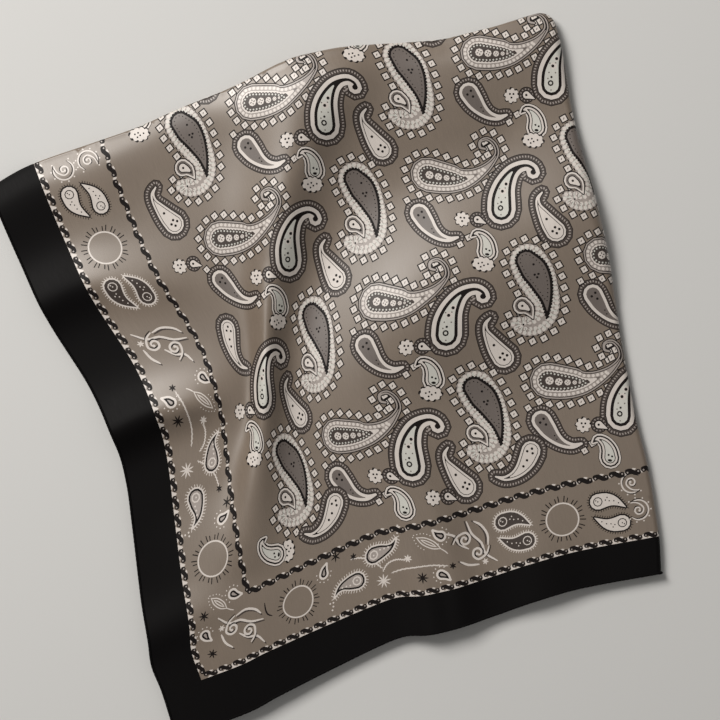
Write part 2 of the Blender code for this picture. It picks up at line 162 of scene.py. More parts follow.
# Softer swells and creases of the cloth, which the solids leave out.
CREASES = {
    "top_swell": [
        Section(-12, 430, 5, 15, 30), Section(60, 430, 6, 15, 32), Section(120, 433, 4, 15, 30),
        Section(180, 436, 3, 14, 24), Section(250, 430, 6, 17, 40), Section(320, 427, 9, 19, 52),
        Section(390, 427, 9, 19, 52), Section(440, 430, 6, 17, 45), Section(470, 432, 3, 15, 40),
    ],
    "ridge_shoulder": [
        Section(178, 311, 0, 30, 16), Section(206, 350, 5, 34, 16), Section(242, 388, 7, 36, 18),
        Section(279, 422, 6, 36, 22), Section(306, 460, 3, 36, 26),
    ],
    "valley": [
        Section(175, 190, 0, 18, 18), Section(200, 245, -2, 20, 20), Section(226, 296, -3, 22, 24),
        Section(267, 329, -3, 26, 26), Section(319, 341, -3, 30, 28), Section(378, 352, -2, 30, 28),
        Section(430, 396, 0, 26, 26),
    ],
    "right_shoulder": [
        Section(262, 222, 0, 40, 50), Section(300, 232, 5, 44, 52), Section(345, 244, 7, 46, 50),
        Section(390, 262, 7, 46, 48), Section(428, 284, 6, 42, 46), Section(464, 316, 5, 38, 44),
    ],
    "low_ridge": [
        Section(86, 96, 0, 16, 24), Section(96, 132, 3, 14, 26), Section(106, 166, 4, 12, 24),
        Section(116, 196, 0, 12, 20),
    ],
    "corner_swell": [
        Section(62, 168, 0, 40, 40), Section(66, 120, 4, 44, 52), Section(74, 70, 5, 44, 56),
        Section(84, 16, 3, 40, 50), Section(88, -14, 2, 40, 50),
    ],
    "bottom_crease": [
        Section(267, -14, 4, 9, 20), Section(268, 50, 4, 9, 20), Section(263, 120, 3, 12, 26),
        Section(252, 176, 0, 14, 26),
    ],
    "upper_hem_crease": [
        Section(-12, 350, 3, 20, 10), Section(50, 344, 3, 20, 10), Section(110, 318, 0, 20, 12),
    ],
    "middle_hem_crease": [
        Section(-12, 238, 3, 14, 8), Section(40, 238, 4, 14, 8), Section(96, 230, 0, 14, 8),
    ],
}

# The three hidden layers: their share of the height, the fold that each rolls round, how far its cut
# edge lies in from the top layer's, and how that wanders along it. Where a layer rolls round no fold
# it ends HIDDEN_END before it. The third is drawn in where its fold nears the corner of the two.
Layer = namedtuple("Layer", "share fold inset wander wave phase")
SECOND = Layer(2 / 3, "right", 3.1, 0.2, 90, 0.4)
THIRD = Layer(1 / 3, "top", 1.3, 0.9, 130, 2.1)
BOTTOM = Layer(0.0, None, 1.9, 1.1, 170, 4.0)
HIDDEN_END = 2.0
CORNER_CLEARANCE = 4.0
CORNER_LEAD = 8
CORNER_REACH = 16
HIDDEN_CELL = 4.5
ROLL_STEPS = 12

# The rolled hem. HEM_OUT is how far its middle line lies out from the cloth's edge, and HEM_LOWEST how
# high it lies at least. Each stitch draws it in a little. The left hems start a little before the
# corner, so that they cover the ends of the bottom ones.
HEM_RADIUS = 1.1
HEM_OUT = 0.95
HEM_LOWEST = 1.15
HEM_SIDES = 10
STITCH_PITCH = 3.6
STITCH_DEPTH = 0.14
STITCH_WIDTH = 0.55
STEEPEST = 0.35
HEM_STEP = 0.9
HEM_PROBE = 0.5
TOP_LEFT_HEM_START = -2.4
HIDDEN_LEFT_HEM_START = -1.2
BOTTOM_HEM_START = 0.1
HIDDEN_HEM_END = 0.5
HEM_ROUGHNESS = 0.85

# The print: where the black border and the band end, where the whole of it starts and ends, and how
# far the photo's view of it is turned.
BORDER = 31.0
BAND = 85.0
PRINT_START = -2
PRINT_END = SIDE + 60
PHOTO_TURN = -17.5

# The meshes of the cloth. Points of the plain grids keep clear of the print's outlines, whose long
# legs are divided so that they follow the cloth. Points nearer than MERGE count as one on a printed
# face, and points nearer than EXACT on a back. Inks are looked up in cells of BUCKET.
GRID_STEP = 3.8
BACK_STEP = 5.5
BOTTOM_GRID = (6, ROLL_START - 8, 14)
BOTTOM_START = 2.0
BOTTOM_CORNER = 2.6
GRID_MARGIN = 1.5
GRID_CLEARANCE = 1.4
EDGE_STEP = 3.5
LONGEST_LEG = 6.2
LONGEST_ROLLED_LEG = 2.6
MERGE = 0.05
EXACT = 1e-5
BUCKET = 8.0

# The cloth's own map counts in this many millimetres.
CLOTH_MAP = 100

# The bake map of a printed sheet: its face takes nearly all of it, and its back a thin strip.
BAKE_REACH = SIDE + 30
BAKE_START, BAKE_SPAN = 0.01, 0.98
FACE_START, FACE_SPAN = 0.03, 0.96
BACK_SPAN = 0.015

GROUND, WHITE, MINT, MID, GREY, DARK, INK, BLACK = range(8)
NO_INK = -1
Ink = namedtuple("Ink", "name color roughness specular sheen")
INKS = [
    Ink("taupe", (0.200, 0.152, 0.113), 0.46, 0.66, 0.04),
    Ink("off_white", (0.72, 0.655, 0.605), 0.46, 0.60, 0.04),
    Ink("pale_green_white", (0.655, 0.645, 0.59), 0.46, 0.60, 0.04),
    Ink("light_taupe", (0.37, 0.32, 0.29), 0.46, 0.6, 0.04),
    Ink("grey", (0.145, 0.118, 0.104), 0.46, 0.5, 0.04),
    Ink("dark_brown", (0.055, 0.041, 0.035), 0.46, 0.25, 0.0),
    Ink("brown_black", (0.008, 0.005, 0.0045), 0.5, 0.12, 0.0),
    Ink("black", (0.0035, 0.003, 0.0032), 0.55, 0.05, 0.0),
]

# The satin: its threads are noise stretched along the warp, and its tone drifts slowly.
SATIN_IOR = 1.75
THREAD_STRETCH = (150, 9, 1)
DRIFT_SCALE = 1.7
NOISE_RANGE = (0.6, 1.4)
TONE = (0.90, 1.10)
GLOSS_BELOW, GLOSS_ABOVE = 0.04, 0.05
THREAD_STRENGTH = 0.12
THREAD_DEPTH = 0.0001
SHEEN_ROUGHNESS = 0.4

# The studio, in metres and watts. Each light stands towards x, y in plan.
Light = namedtuple("Light", "name x y elevation distance size energy")
LIGHTS = [Light("key", -0.46, 0.89, 46, 2.6, 1.1, 60), Light("fill", 0.8, -0.6, 70, 2.4, 2.2, 3)]
LIGHT_COLOR = (1.0, 0.97, 0.93)
WORLD_COLOR = (1.0, 0.98, 0.95, 1)
WORLD_STRENGTH = 0.15
CAMERA_PLACE = (0.0071, 0.0012, 1.8)
LENS = 117
SENSOR = 36
FLOOR_HALF = 6.0
FLOOR_TONES = ((0.70, 0.70, 0.69, 1), (0.74, 0.74, 0.73, 1))
FLOOR_GRAIN = 3.0
FLOOR_ROUGHNESS = 0.9

# Spines of the print's shapes, charted: places on the spine and half the width there.
Rib = namedtuple("Rib", "x y half")
PLUME = [
    Rib(-17.1, -3.6, 13.7), Rib(-6.9, -4.0, 12.9), Rib(2.5, -3.5, 11.2), Rib(8.8, -2.7, 8.8),
    Rib(16.6, 0.9, 6.2), Rib(24.9, 7.0, 4.0), Rib(30.4, 13.3, 2.6), Rib(33.5, 19.9, 2.0),
    Rib(31.2, 26.6, 1.8), Rib(25.3, 30.5, 1.6), Rib(19.8, 28.2, 1.4), Rib(20.2, 23.5, 1.2),
    Rib(24.1, 22.7, 1.0),
]
HOOK = [
    Rib(-5.6, -15.7, 11.0), Rib(-6.2, -7.1, 10.6), Rib(-5.4, 0.8, 9.2), Rib(-3.2, 7.8, 7.6),
    Rib(0.3, 14.1, 6.0), Rib(5.4, 18.4, 4.6), Rib(11.3, 20.0, 4.1), Rib(16.0, 18.0, 3.9),
    Rib(16.4, 15.3, 5.3),
]
DARK_DROP = [
    Rib(-10.2, 18.0, 8.1), Rib(-4.4, 11.8, 9.75), Rib(0.4, 4.9, 8.6), Rib(3.8, -1.9, 6.7),
    Rib(6.6, -8.8, 4.4), Rib(8.3, -15.7, 2.4), Rib(9.5, -23.9, 0.3),
]
SHELL = [
    Rib(-9.2, 17.3, 13.7), Rib(-3.0, 7.7, 14.1), Rib(3.2, -3.3, 11.7), Rib(8.0, -12.9, 8.9),
    Rib(8.0, -22.5, 7.9), Rib(2.5, -29.4, 7.6), Rib(-5.8, -30.8, 7.2), Rib(-11.9, -29.4, 5.1),
]
SHELL_EYE = [Rib(-9.9, -16.0, 6.5), Rib(-4.8, -18.5, 4.5), Rib(-0.6, -24.9, 0.4)]
SPROUT = [
    Rib(-8.9, 6.1, 7.5), Rib(-3.4, -0.9, 6.7), Rib(2.1, -6.3, 4.9), Rib(8.4, -10.0, 3.3),
    Rib(15.5, -11.0, 2.2), Rib(21.7, -8.6, 0.9),
]
SEED = [
    Rib(5.3, -7.9, 7.8), Rib(0.0, -2.2, 6.4), Rib(-5.3, 4.6, 4.2), Rib(-9.2, 10.5, 2.2),
    Rib(-10.0, 16.0, 1.4), Rib(-7.2, 20.7, 0.6),
]
BUD = [
    Rib(3.0, -1.3, 8.2), Rib(1.8, 4.9, 7.2), Rib(-1.7, 10.0, 5.6), Rib(-6.8, 12.0, 3.8),
    Rib(-10.0, 8.9, 1.6),
]
POD = [
    Rib(-1.5, 10.3, 7.0), Rib(-1.8, 1.5, 6.3), Rib(-0.4, -6.6, 4.6), Rib(2.9, -13.2, 3.0),
    Rib(8.1, -18.0, 1.8), Rib(14.7, -19.5, 0.6),
]
EYE = [Rib(7.9, 1.0, 2.8), Rib(10.4, 0.2, 1.8), Rib(14.0, -1.0, 0.4)]
TWIN = [Rib(-11.4, 4.6, 6.1), Rib(-9.6, -2.0, 5.2), Rib(-5.8, -7.2, 3.4), Rib(1.6, -12.2, 0.4)]
TEAR = [Rib(0, 1.4, 3.3), Rib(0.8, -2.0, 2.4), Rib(3.2, -5.6, 0.3)]
RAYED = [
    Rib(0, 0.5, 6.2), Rib(2.6, -4.2, 5.2), Rib(4.9, -9.0, 3.2), Rib(5.2, -13.6, 1.5),
    Rib(3.5, -18.5, 0.3),
]
LINK = [
    Rib(-4.2, 0.9, 1.5), Rib(-1.8, 1.0, 1.5), Rib(0, 0, 1.35), Rib(1.8, -1.0, 1.5), Rib(4.2, -0.9, 1.5),
]
PLUME_ROSETTES = (
    (-16.1, -3.6, 3.1), (-9.4, -3.9, 2.8), (-3.2, -3.8, 2.3), (1.8, -3.4, 1.6), (5.4, -3, 1),
)
SQUARE_TURN = 35.0
FLECK_LEAN = 14
SUN_RAYS = 28
FLECK_PITCH = 2.2
STEPS_A_RIB = 3
CAP_SIDES = 4
THINNEST = 0.12

# Where a motif stands on the cloth. Size is a factor, turn is in degrees.
Place = namedtuple("Place", "s t turn size", defaults=(0, 1.0))


def smooth_step(value):
    """0 below 0, 1 above 1, and a soft S between."""
    value = np.clip(value, 0.0, 1.0)
    return value * value * (3 - 2 * value)


def smooth_curve(rows, steps=STEPS_A_SECTION):
    """Points on a smooth curve through a table's rows, as an array with the table's columns."""
    rows = np.array(rows, float)
    ends = np.vstack([2 * rows[0] - rows[1], rows, 2 * rows[-1] - rows[-2]])
    before, start, stop, after = (ends[k:len(ends) - 3 + k, None] for k in range(4))
    u = (np.arange(steps) / steps)[:, None]
    slope = stop - before
    bend = 2 * before - 5 * start + 4 * stop - after
    twist = 3 * start - before - 3 * stop + after
    points = start + 0.5 * (slope * u + bend * u ** 2 + twist * u ** 3)
    return np.vstack([points.reshape(-1, rows.shape[1]), rows[-1:]])


# The four edges: their corners, and how they bow between them.
EDGES = {
    "left": (BOTTOM_LEFT, TOP_LEFT, smooth_curve(LEFT_EDGE)),
    "right": (BOTTOM_RIGHT, TOP_RIGHT, smooth_curve(RIGHT_EDGE)),
    "bottom": (BOTTOM_LEFT, BOTTOM_RIGHT, smooth_curve(BOTTOM_EDGE)),
    "top": (TOP_LEFT, TOP_RIGHT, smooth_curve(TOP_EDGE)),
}


def edge_curve(side, share):
    """Plan points on one edge at these shares of its length."""
    start, stop, table = EDGES[side]
    run = np.subtract(stop, start)
    left = np.array([-run[1], run[0]]) / np.hypot(*run)
    offset = np.interp(share, table[:, 0], table[:, 1])
    return np.array(start) + np.multiply.outer(share, run) + np.multiply.outer(offset, left)


def fullness(place, slack):
    """How far the slack beside a hem moves the cloth, at this distance from the hem."""
    nearness = place / slack.reach
    return slack.amount * nearness * np.exp(1 - nearness)


def drawn(s, t):
    """How far the main ridge draws the cloth to the left."""
    reach = np.where(s < TUCK.s, TUCK.left, TUCK.right)
    pull = np.exp(-((s - TUCK.s) / reach) ** 2 - ((t - TUCK.t) / TUCK.reach) ** 2)
    return TUCK.amount * pull * smooth_step((ROLL_START - s) / TUCK.edge)


def nudged(s, t):
    """How far the nudges move the cloth across and up. They die out at its edges."""
    across, up = 0.0, 0.0
    for nudge in NUDGES:
        pull = np.exp(-((s - nudge.s) / nudge.reach_s) ** 2 - ((t - nudge.t) / nudge.reach_t) ** 2)
        across = across + nudge.across * pull * smooth_step(s / NUDGE_EDGE)
        up = up + nudge.up * pull * smooth_step(t / NUDGE_EDGE)
    return across, up


def plan(s, t):
    """Plan position of the cloth at s, t: a blend of the four edges, each point on its own share."""
    further, higher = nudged(s, t)
    across = (s + fullness(s, LEFT_SLACK) - drawn(s, t) + further) / ROLL_START
    up = (t + fullness(t, BOTTOM_SLACK) + higher) / ROLL_START
    sides = (
        (1 - across)[..., None] * edge_curve("left", up)
        + across[..., None] * edge_curve("right", up)
        + (1 - up)[..., None] * edge_curve("bottom", across)
        + up[..., None] * edge_curve("top", across)
    )
    corners = (
        np.multiply.outer((1 - across) * (1 - up), BOTTOM_LEFT)
        + np.multiply.outer(across * (1 - up), BOTTOM_RIGHT)
        + np.multiply.outer(across * up, TOP_RIGHT)
        + np.multiply.outer((1 - across) * up, TOP_LEFT)
    )
    return sides - corners - MIDDLE


def fold_height(s, t, sections):
    """Height that one fold adds at s, t, from the nearest place on its crest."""
    crest = smooth_curve(sections)
    start, run = crest[:-1, :2], np.diff(crest[:, :2], axis=0)
    away = np.stack([s, t], axis=-1)[..., None, :] - start
    along = np.clip((away * run).sum(-1) / (run * run).sum(-1), 0, 1)
    offset = away - along[..., None] * run
    distance = np.hypot(offset[..., 0], offset[..., 1])
    nearest = distance.argmin(-1)[..., None]
    share = np.take_along_axis(along, nearest, -1)[..., 0]
    side = np.take_along_axis(run[:, 0] * away[..., 1] - run[:, 1] * away[..., 0], nearest, -1)[..., 0]
    place = nearest[..., 0]
    here = crest[place] + share[..., None] * (crest[place + 1] - crest[place])
    height, left, right = here[..., 2], here[..., 3], here[..., 4]
    reach = np.where(side > 0, left, right)
    return height * np.exp(-(distance.min(-1) / reach) ** 2)


def height_field():
    """The uppermost layer's height on a square grid of places, with the folds' crests softened."""
    line = np.arange(FIELD_START, SIDE - FIELD_START, FIELD_STEP)
    s, t = np.meshgrid(line, line, indexing="ij")
    loft = LOFT * np.sin(np.pi * np.clip(s / SIDE, 0, 1)) * np.sin(np.pi * np.clip(t / SIDE, 0, 1))
    folds = [*FOLDS.values(), *CREASES.values()]
    height = STACK + loft + sum(fold_height(s, t, sections) for sections in folds)
    for _ in range(FIELD_SOFTENING):
        height[1:-1] = (height[:-2] + 2 * height[1:-1] + height[2:]) / 4
        height[:, 1:-1] = (height[:, :-2] + 2 * height[:, 1:-1] + height[:, 2:]) / 4
    return height


def cubic_weights(share):
    """Weights of the four grid lines round a place, for a smooth curve through them."""
    square, cube = share ** 2, share ** 3
    return (
        (-share + 2 * square - cube) / 2, (2 - 5 * square + 3 * cube) / 2,
        (share + 4 * square - 3 * cube) / 2, (cube - square) / 2,
    )


def cloth_height(s, t):
    """Height of the uppermost layer's outer face over the surface that the scarf lies on."""
    last = len(HEIGHTS) - 3
    across, up = (np.asarray(s) - FIELD_START) / FIELD_STEP, (np.asarray(t) - FIELD_START) / FIELD_STEP
    i, j = np.clip(np.floor(across), 1, last).astype(int), np.clip(np.floor(up), 1, last).astype(int)
    rows, columns = cubic_weights(across - i), cubic_weights(up - j)
    return sum(
        rows[a] * columns[b] * HEIGHTS[i + a - 1, j + b - 1] for a in range(4) for b in range(4)
    )


# Worked out once, because every surface reads it.
HEIGHTS = height_field()


def unit(vectors):
    """The vectors at length 1."""
    return vectors / np.linalg.norm(vectors, axis=-1)[..., None]


def to_the_right(run):
    """Unit directions in plan, square to these runs and to their right."""
    direction = np.stack([run[..., 1], -run[..., 0]], axis=-1)
    return direction / np.maximum(np.hypot(direction[..., 0], direction[..., 1]), 1e-6)[..., None]


def rolled(flat, height, direction, beyond, radius):
    """Points on cloth that rolls down round a fold and then runs back in under itself."""
    angle = np.clip(beyond / radius, 0, math.pi)
    reach = radius * np.sin(angle) - np.maximum(beyond - math.pi * radius, 0)
    drop = radius * (1 - np.cos(angle))
    return np.concatenate([flat + direction * reach[..., None], (height - drop)[..., None]], axis=-1)


def top_roll_radius(s, height):
    """Radius of the first layer's roll. At the top fold it takes in a third of the stack, and at the
    right fold the whole.
    """
    turn = smooth_step((s - ROLL_START + CORNER_TURN) / CORNER_TURN)
    return (height - BASE) * (1 / 6 + turn / 3)


def roll_length(s, t):
    """How much cloth is in the first layer's roll at this place on its fold."""
    return math.pi * top_roll_radius(s, cloth_height(s, t))


def top_surface(s, t):
    """Points on the outer face of the first layer, in millimetres. It rolls under at its two folds."""
    middle = ROLL_START - CORNER_LINE
    inner_s, inner_t = np.minimum(s, middle), np.minimum(t, middle)
    away = np.hypot(s - inner_s, t - inner_t)
    beyond = np.maximum(away - CORNER_LINE, 0)
    out_s, out_t = (s - inner_s) / np.maximum(away, 1e-6), (t - inner_t) / np.maximum(away, 1e-6)
    edge_s, edge_t = s - out_s * beyond, t - out_t * beyond
    flat, height = plan(edge_s, edge_t), cloth_height(edge_s, edge_t)
    direction = to_the_right(plan(edge_s - out_t, edge_t + out_s) - flat)
    return rolled(flat, height, direction, beyond, top_roll_radius(edge_s, height))


def corner_pull(s):
    """How far the third layer's top fold is drawn in near the corner where the folds meet."""
    return CORNER_CLEARANCE * smooth_step((s - ROLL_START + CORNER_TURN + CORNER_LEAD) / CORNER_REACH)


def hidden_surface(layer, s, t):
    """Points on the upper face of one hidden layer, in millimetres."""
    start_s = np.full_like(s, ROLL_START if layer.fold == "right" else 2 * SIDE)
    start_t = np.full_like(t, ROLL_START if layer.fold == "top" else 2 * SIDE)
    if layer.fold == "top":
        start_t -= corner_pull(s)
    edge_s, edge_t = np.minimum(s, start_s), np.minimum(t, start_t)
    beyond = (s - edge_s) + (t - edge_t)
    flat, whole = plan(edge_s, edge_t), cloth_height(edge_s, edge_t) - BASE
    turn_s, turn_t = (1, 0) if layer.fold == "right" else (0, 1)
    direction = to_the_right(plan(edge_s - turn_t, edge_t + turn_s) - flat)
    return rolled(flat, BASE + whole * layer.share, direction, beyond, whole / 6)


def surface_normals(surface, s, t, step=0.05):
    """Unit normals of a surface, facing up out of the print."""
    along_s = surface(s + step, t) - surface(s - step, t)
    along_t = surface(s, t + step) - surface(s, t - step)
    return unit(np.cross(along_s, along_t))


# The print's drawing kit. Shapes are closed outlines, filled in the order in which they are laid.


def turned(points, degrees):
    """Points turned anticlockwise about the origin."""
    cos, sin = math.cos(math.radians(degrees)), math.sin(math.radians(degrees))
    return np.asarray(points, float) @ [[cos, sin], [-sin, cos]]


def disc(x, y, radius, sides=6, squash=1.0):
    """A polygon in place of a circle."""
    angle = np.arange(sides) * 2 * math.pi / sides
    return np.column_stack([x + radius * np.cos(angle), y + radius * squash * np.sin(angle)])


def box(x, y, width, height, turn=0.0):
    """A rectangle about x, y."""
    half = np.array([(-1, -1), (1, -1), (1, 1), (-1, 1)]) * (width / 2, height / 2)
    return turned(half, turn) + (x, y)


def ribbon(ribs, grow=0.0, least=None):
    """Outline of a shape with a spine, made wider all round by grow. It ends where it gets too thin,
    or else is nowhere narrower than least.
    """
    spine = smooth_curve(ribs, STEPS_A_RIB)
    half = spine[:, 2] + grow
    if least is None:
        keep = int(np.argmax(half < THINNEST)) or len(half)
        spine, half = spine[:keep], half[:keep]
    else:
        half = np.maximum(half, least)
    run = np.gradient(spine[:, :2], axis=0)
    angle = np.arctan2(run[:, 1], run[:, 0])
    side = np.column_stack([-np.sin(angle), np.cos(angle)]) * half[:, None]
    tip_turn = np.linspace(math.pi / 2, -math.pi / 2, CAP_SIDES + 1)[1:-1]
    butt_turn = np.linspace(-math.pi / 2, -3 * math.pi / 2, 2 * CAP_SIDES - 1)[1:-1]
    tip, butt = (
        [spine[end, :2] + half[end] * np.array([math.cos(a), math.sin(a)]) for a in angle[end] + turn]
        for end, turn in ((-1, tip_turn), (0, butt_turn))
    )
    return np.vstack([spine[:, :2] + side, tip, spine[::-1, :2] - side[::-1], butt])


def stroke(points, half):
    """A curved line through points, tapering a little to its ends."""
    spine = smooth_curve(points, STEPS_A_RIB)
    share = np.linspace(-1, 1, len(spine))
    width = half * (1 - 0.55 * share ** 4)
    run = np.gradient(spine, axis=0)
    side = np.column_stack([-run[:, 1], run[:, 0]]) / np.hypot(run[:, 0], run[:, 1])[:, None]
    side = side * width[:, None]
    return np.vstack([spine + side, (spine - side)[::-1]])


def rings(ribs, *bands):
    """Shapes that share one spine. Each band is an ink and how far it is grown."""
    return [(ink, ribbon(ribs, grow)) for ink, grow in bands]


Spot = namedtuple("Spot", "x y turn")


def along(outline, pitch, start=0.0, stop=1.0):
    """Spots at an even pitch along a closed outline, between two shares of its length."""
    closed = np.vstack([outline, outline[:1]])
    legs = np.diff(closed, axis=0)
    length = np.concatenate([[0], np.cumsum(np.hypot(legs[:, 0], legs[:, 1]))])
    count = max(int(round((stop - start) * length[-1] / pitch)), 1)
    spots = []
    for place in (start + (stop - start) * (np.arange(count) + 0.5) / count) * length[-1]:
        leg = min(int(np.searchsorted(length, place, "right")) - 1, len(legs) - 1)
        share = (place - length[leg]) / (length[leg + 1] - length[leg])
        x, y = closed[leg] + share * legs[leg]
        spots.append(Spot(x, y, math.degrees(math.atan2(legs[leg][1], legs[leg][0]))))
    return spots


def beads(ink, outline, pitch, radius):
    """Round beads along an outline."""
    return [(ink, disc(spot.x, spot.y, radius, 5)) for spot in along(outline, pitch)]


def bars(ink, outline, pitch, width, height, lean=0.0):
    """Short bars across an outline."""
    return [(ink, box(spot.x, spot.y, width, height, spot.turn + lean)) for spot in along(outline, pitch)]


def squares(places, size=6.0):
    """Small framed squares, all turned alike."""
    shapes = []
    for x, y in places:
        shapes.append((INK, box(x, y, size, size, SQUARE_TURN)))
        shapes.append((WHITE, box(x, y, size * 0.70, size * 0.70, SQUARE_TURN)))
        shapes.append((GREY, box(x, y, size * 0.28, size * 0.12, SQUARE_TURN + 45)))
    return shapes


def squares_along(outline, pitch):
    """Framed squares along an outline."""
    return squares([(spot.x, spot.y) for spot in along(outline, pitch)])


def scalloped(outline, pitch, depth):
    """The outline with a row of small rounded lobes."""
    points = []
    for index, spot in enumerate(along(outline, pitch / 3)):
        lift = depth * (0.0, 1.0, 0.8)[index % 3]
        angle = math.radians(spot.turn + 90)
        points.append((spot.x + lift * math.cos(angle), spot.y + lift * math.sin(angle)))
    return np.array(points)


def halo(ribs, grow):
    """A dark cord round a shape, with light flecks along it."""
    shapes = rings(ribs, (INK, grow), (DARK, grow - 0.5))
    shapes += bars(MID, ribbon(ribs, grow * 0.56), FLECK_PITCH, 0.95, grow * 0.30, lean=FLECK_LEAN)
    return shapes + rings(ribs, (INK, 0.7))


def rosette(x, y, radius):
    """A round flower with a cross in it."""
    shapes = [(WHITE, disc(x, y, radius, 8))]
    shapes += [(INK, box(x, y, radius * 1.3, radius * 0.22, turn)) for turn in (20, 110)]
    return shapes + [(WHITE, disc(x, y, radius * 0.3, 5))]


def dots(ink, places, radius):
    """Dots at these places."""
    return [(ink, disc(x, y, radius, 6)) for x, y in places]


def plume():
    """The widest motif, with a curled tip and a frame of squares."""
    shapes = squares_along(ribbon(PLUME, 4.3), 7.8)
    shapes += rings(PLUME, (INK, 0.5), (MID, -0.3), (INK, -1.3), (MID, -1.9))
    shapes += beads(WHITE, ribbon(PLUME, -3.4), 3.3, 1.35)
    shapes += rings(PLUME, (GREY, -4.9), (WHITE, -5.3))
    shapes.append((DARK, scalloped(ribbon(PLUME, -7.0), 2.6, 0.7)))
    shapes += beads(MINT, ribbon(PLUME, -8.0), 2.6, 0.75)
    for x, y, radius in PLUME_ROSETTES:
        shapes += rosette(x, y, radius)
    return shapes


def hook():
    """A tall motif with a hooked tip, inside a cord."""
    shapes = halo(HOOK, 5.0) + [(WHITE, ribbon(HOOK)), (INK, ribbon(HOOK, -3.1, least=1.0))]
    shapes += [(MINT, ribbon(HOOK, -5.4)), (INK, disc(16.4, 15.3, 2.0, 8))]
    shapes += [(INK, disc(-6.4, -14.2, 2.3, 8)), (MINT, disc(-6.4, -14.2, 1.2, 6))]
    shapes += [(INK, disc(-6.2, -9.6, 1.0, 5))]
    shapes += [(WHITE, disc(-5.4, -1.0, 2.6, 7)), (WHITE, disc(-3.4, 4.8, 2.1, 7))]
    shapes += dots(INK, ((-6, -1.2), (-3.6, 4.6)), 1.3)
    specks = ((-3.4, -6), (-8.4, -6.4), (-8.8, -11), (-5.6, -19.4), (-8.4, 0.6), (-4, 1.4))
    return shapes + dots(GREY, specks, 0.6)


def shell():
    """Beaded rows round a dark drop, in a frame of squares."""
    shapes = squares_along(ribbon(SHELL, 4.3), 8.8)
    for ink, grow in ((INK, 0.2), (MID, -0.3)):
        shapes.append((ink, scalloped(ribbon(SHELL, grow), 4.0, 0.7)))
    for grow, radius in ((-1.9, 1.75), (-5.2, 1.6), (-8.4, 1.5)):
        shapes += beads(WHITE, ribbon(SHELL, grow), 3.7, radius)
    shapes += bars(MINT, ribbon(SHELL, -3.4), 3.5, 1.1, 4.4)
    for number in range(12):
        angle = math.radians(number * 30)
        place = (-7 + 4.4 * math.cos(angle), -30 + 4.4 * math.sin(angle))
        shapes.append((GREY, box(*place, 3.6, 0.35, number * 30)))
    shapes += [(INK, disc(-7, -30, 0.8, 6)), (INK, scalloped(ribbon(DARK_DROP, 0.2), 2.4, 0.8))]
    shapes += [(GREY, ribbon(DARK_DROP, -1.5))] + beads(INK, ribbon(DARK_DROP, -3.3), 3.0, 0.5)
    shapes += dots(INK, ((-3.2, 7.8), (-1.2, 6.0), (-0.6, 8.6), (-4.8, 15.5)), 0.95)
    shapes += rings(SHELL_EYE, (INK, 0.9), (WHITE, 0), (GREY, -1.3), (INK, -2.6), (WHITE, -3.4))
    return shapes + [(INK, disc(-9.6, -16.2, 1.0))]


def sprout():
    """A slim curved drop, with squares off its ends."""
    shapes = halo(SPROUT, 4.5) + rings(SPROUT, (WHITE, 0), (GREY, -2.3))
    shapes += dots(INK, ((-9.8, 4.4), (-7.4, 7.4), (-5.4, 3.2)), 1.05)
    shapes += dots(INK, ((1.4, -4.6), (3.2, -7.2)), 0.6)
    return shapes + squares(((-19.1, 14.8), (24.1, -13.9), (29.6, -7.6)), 5.6)


def seed():
    """A small drop inside a cord."""
    shapes = halo(SEED, 5.5) + rings(SEED, (WHITE, 0), (INK, -1.5), (WHITE, -2.0))
    return shapes + dots(INK, ((6.2, -9.4), (3.0, -8.2), (4.6, -5), (7.8, -6), (-2.2, 0.6)), 1.1)


def bud():
    """The smallest drop, which stands over a flower."""
    bands = (INK, 0.5), (WHITE, 0), (INK, -1.3), (WHITE, -2.5), (INK, -4.0), (MINT, -4.6)
    shapes = rings(BUD, *bands) + dots(INK, ((1.8, 0.8), (4.4, 0.0)), 0.85)
    return shapes + [(INK, disc(3.0, -3.2, 1.7, 8, 0.6))]


def corner_bud():
    """A bud the other way round, over its flower."""
    return [(ink, turned(points * (1, -1), -90)) for ink, points in blossom() + bud()]


def blossom():
    """The round flower under a bud."""
    shapes = [(INK, scalloped(disc(1.0, -11.1, 8.0, 20, 0.66)[::-1], 4.2, 1.3))]
    shapes += [(WHITE, scalloped(disc(1.0, -11.1, 7.2, 20, 0.62)[::-1], 4.2, 1.2))]
    return shapes + dots(INK, ((-2.6, -11), (0.0, -10), (1.6, -12), (4.4, -10.6), (-0.6, -13.4)), 0.75)


def pod():
    """A drop inside a cord, with its tail to the right."""
    shapes = halo(POD, 5.5) + rings(POD, (WHITE, 0), (INK, -1.6), (WHITE, -2.1))
    return shapes + dots(INK, ((-1.5, 11.8), (-3.4, 8.8), (0.8, 8.4), (-1.8, 2), (-1.2, -3.4)), 1.05)


def low_pod():
    """A pod the other way round, with its tail to the left."""
    return [(ink, turned(points * (-1, 1), -23)) for ink, points in pod()]


def bloom():
    """A flower beside a small eye."""
    shapes = [(INK, scalloped(disc(-3.5, -0.5, 5.1, 18)[::-1], 3.9, 1.5))]
    shapes += [(WHITE, scalloped(disc(-3.5, -0.5, 4.4, 18)[::-1], 3.4, 1.4))]
    shapes += dots(INK, ((-4.9, 0.6), (-2.2, 0.8), (-3.5, -2.0)), 0.85)
    shapes += [(INK, disc(7.9, 1.0, 6.3, 16)), (DARK, disc(7.9, 1.0, 5.7, 16))]
    shapes += bars(MID, disc(7.9, 1.0, 4.6, 16), 2.3, 0.7, 1.0)
    return shapes + rings(EYE, (INK, 0.9), (WHITE, 0)) + [(INK, disc(7.7, 1.0, 1.0, 6))]


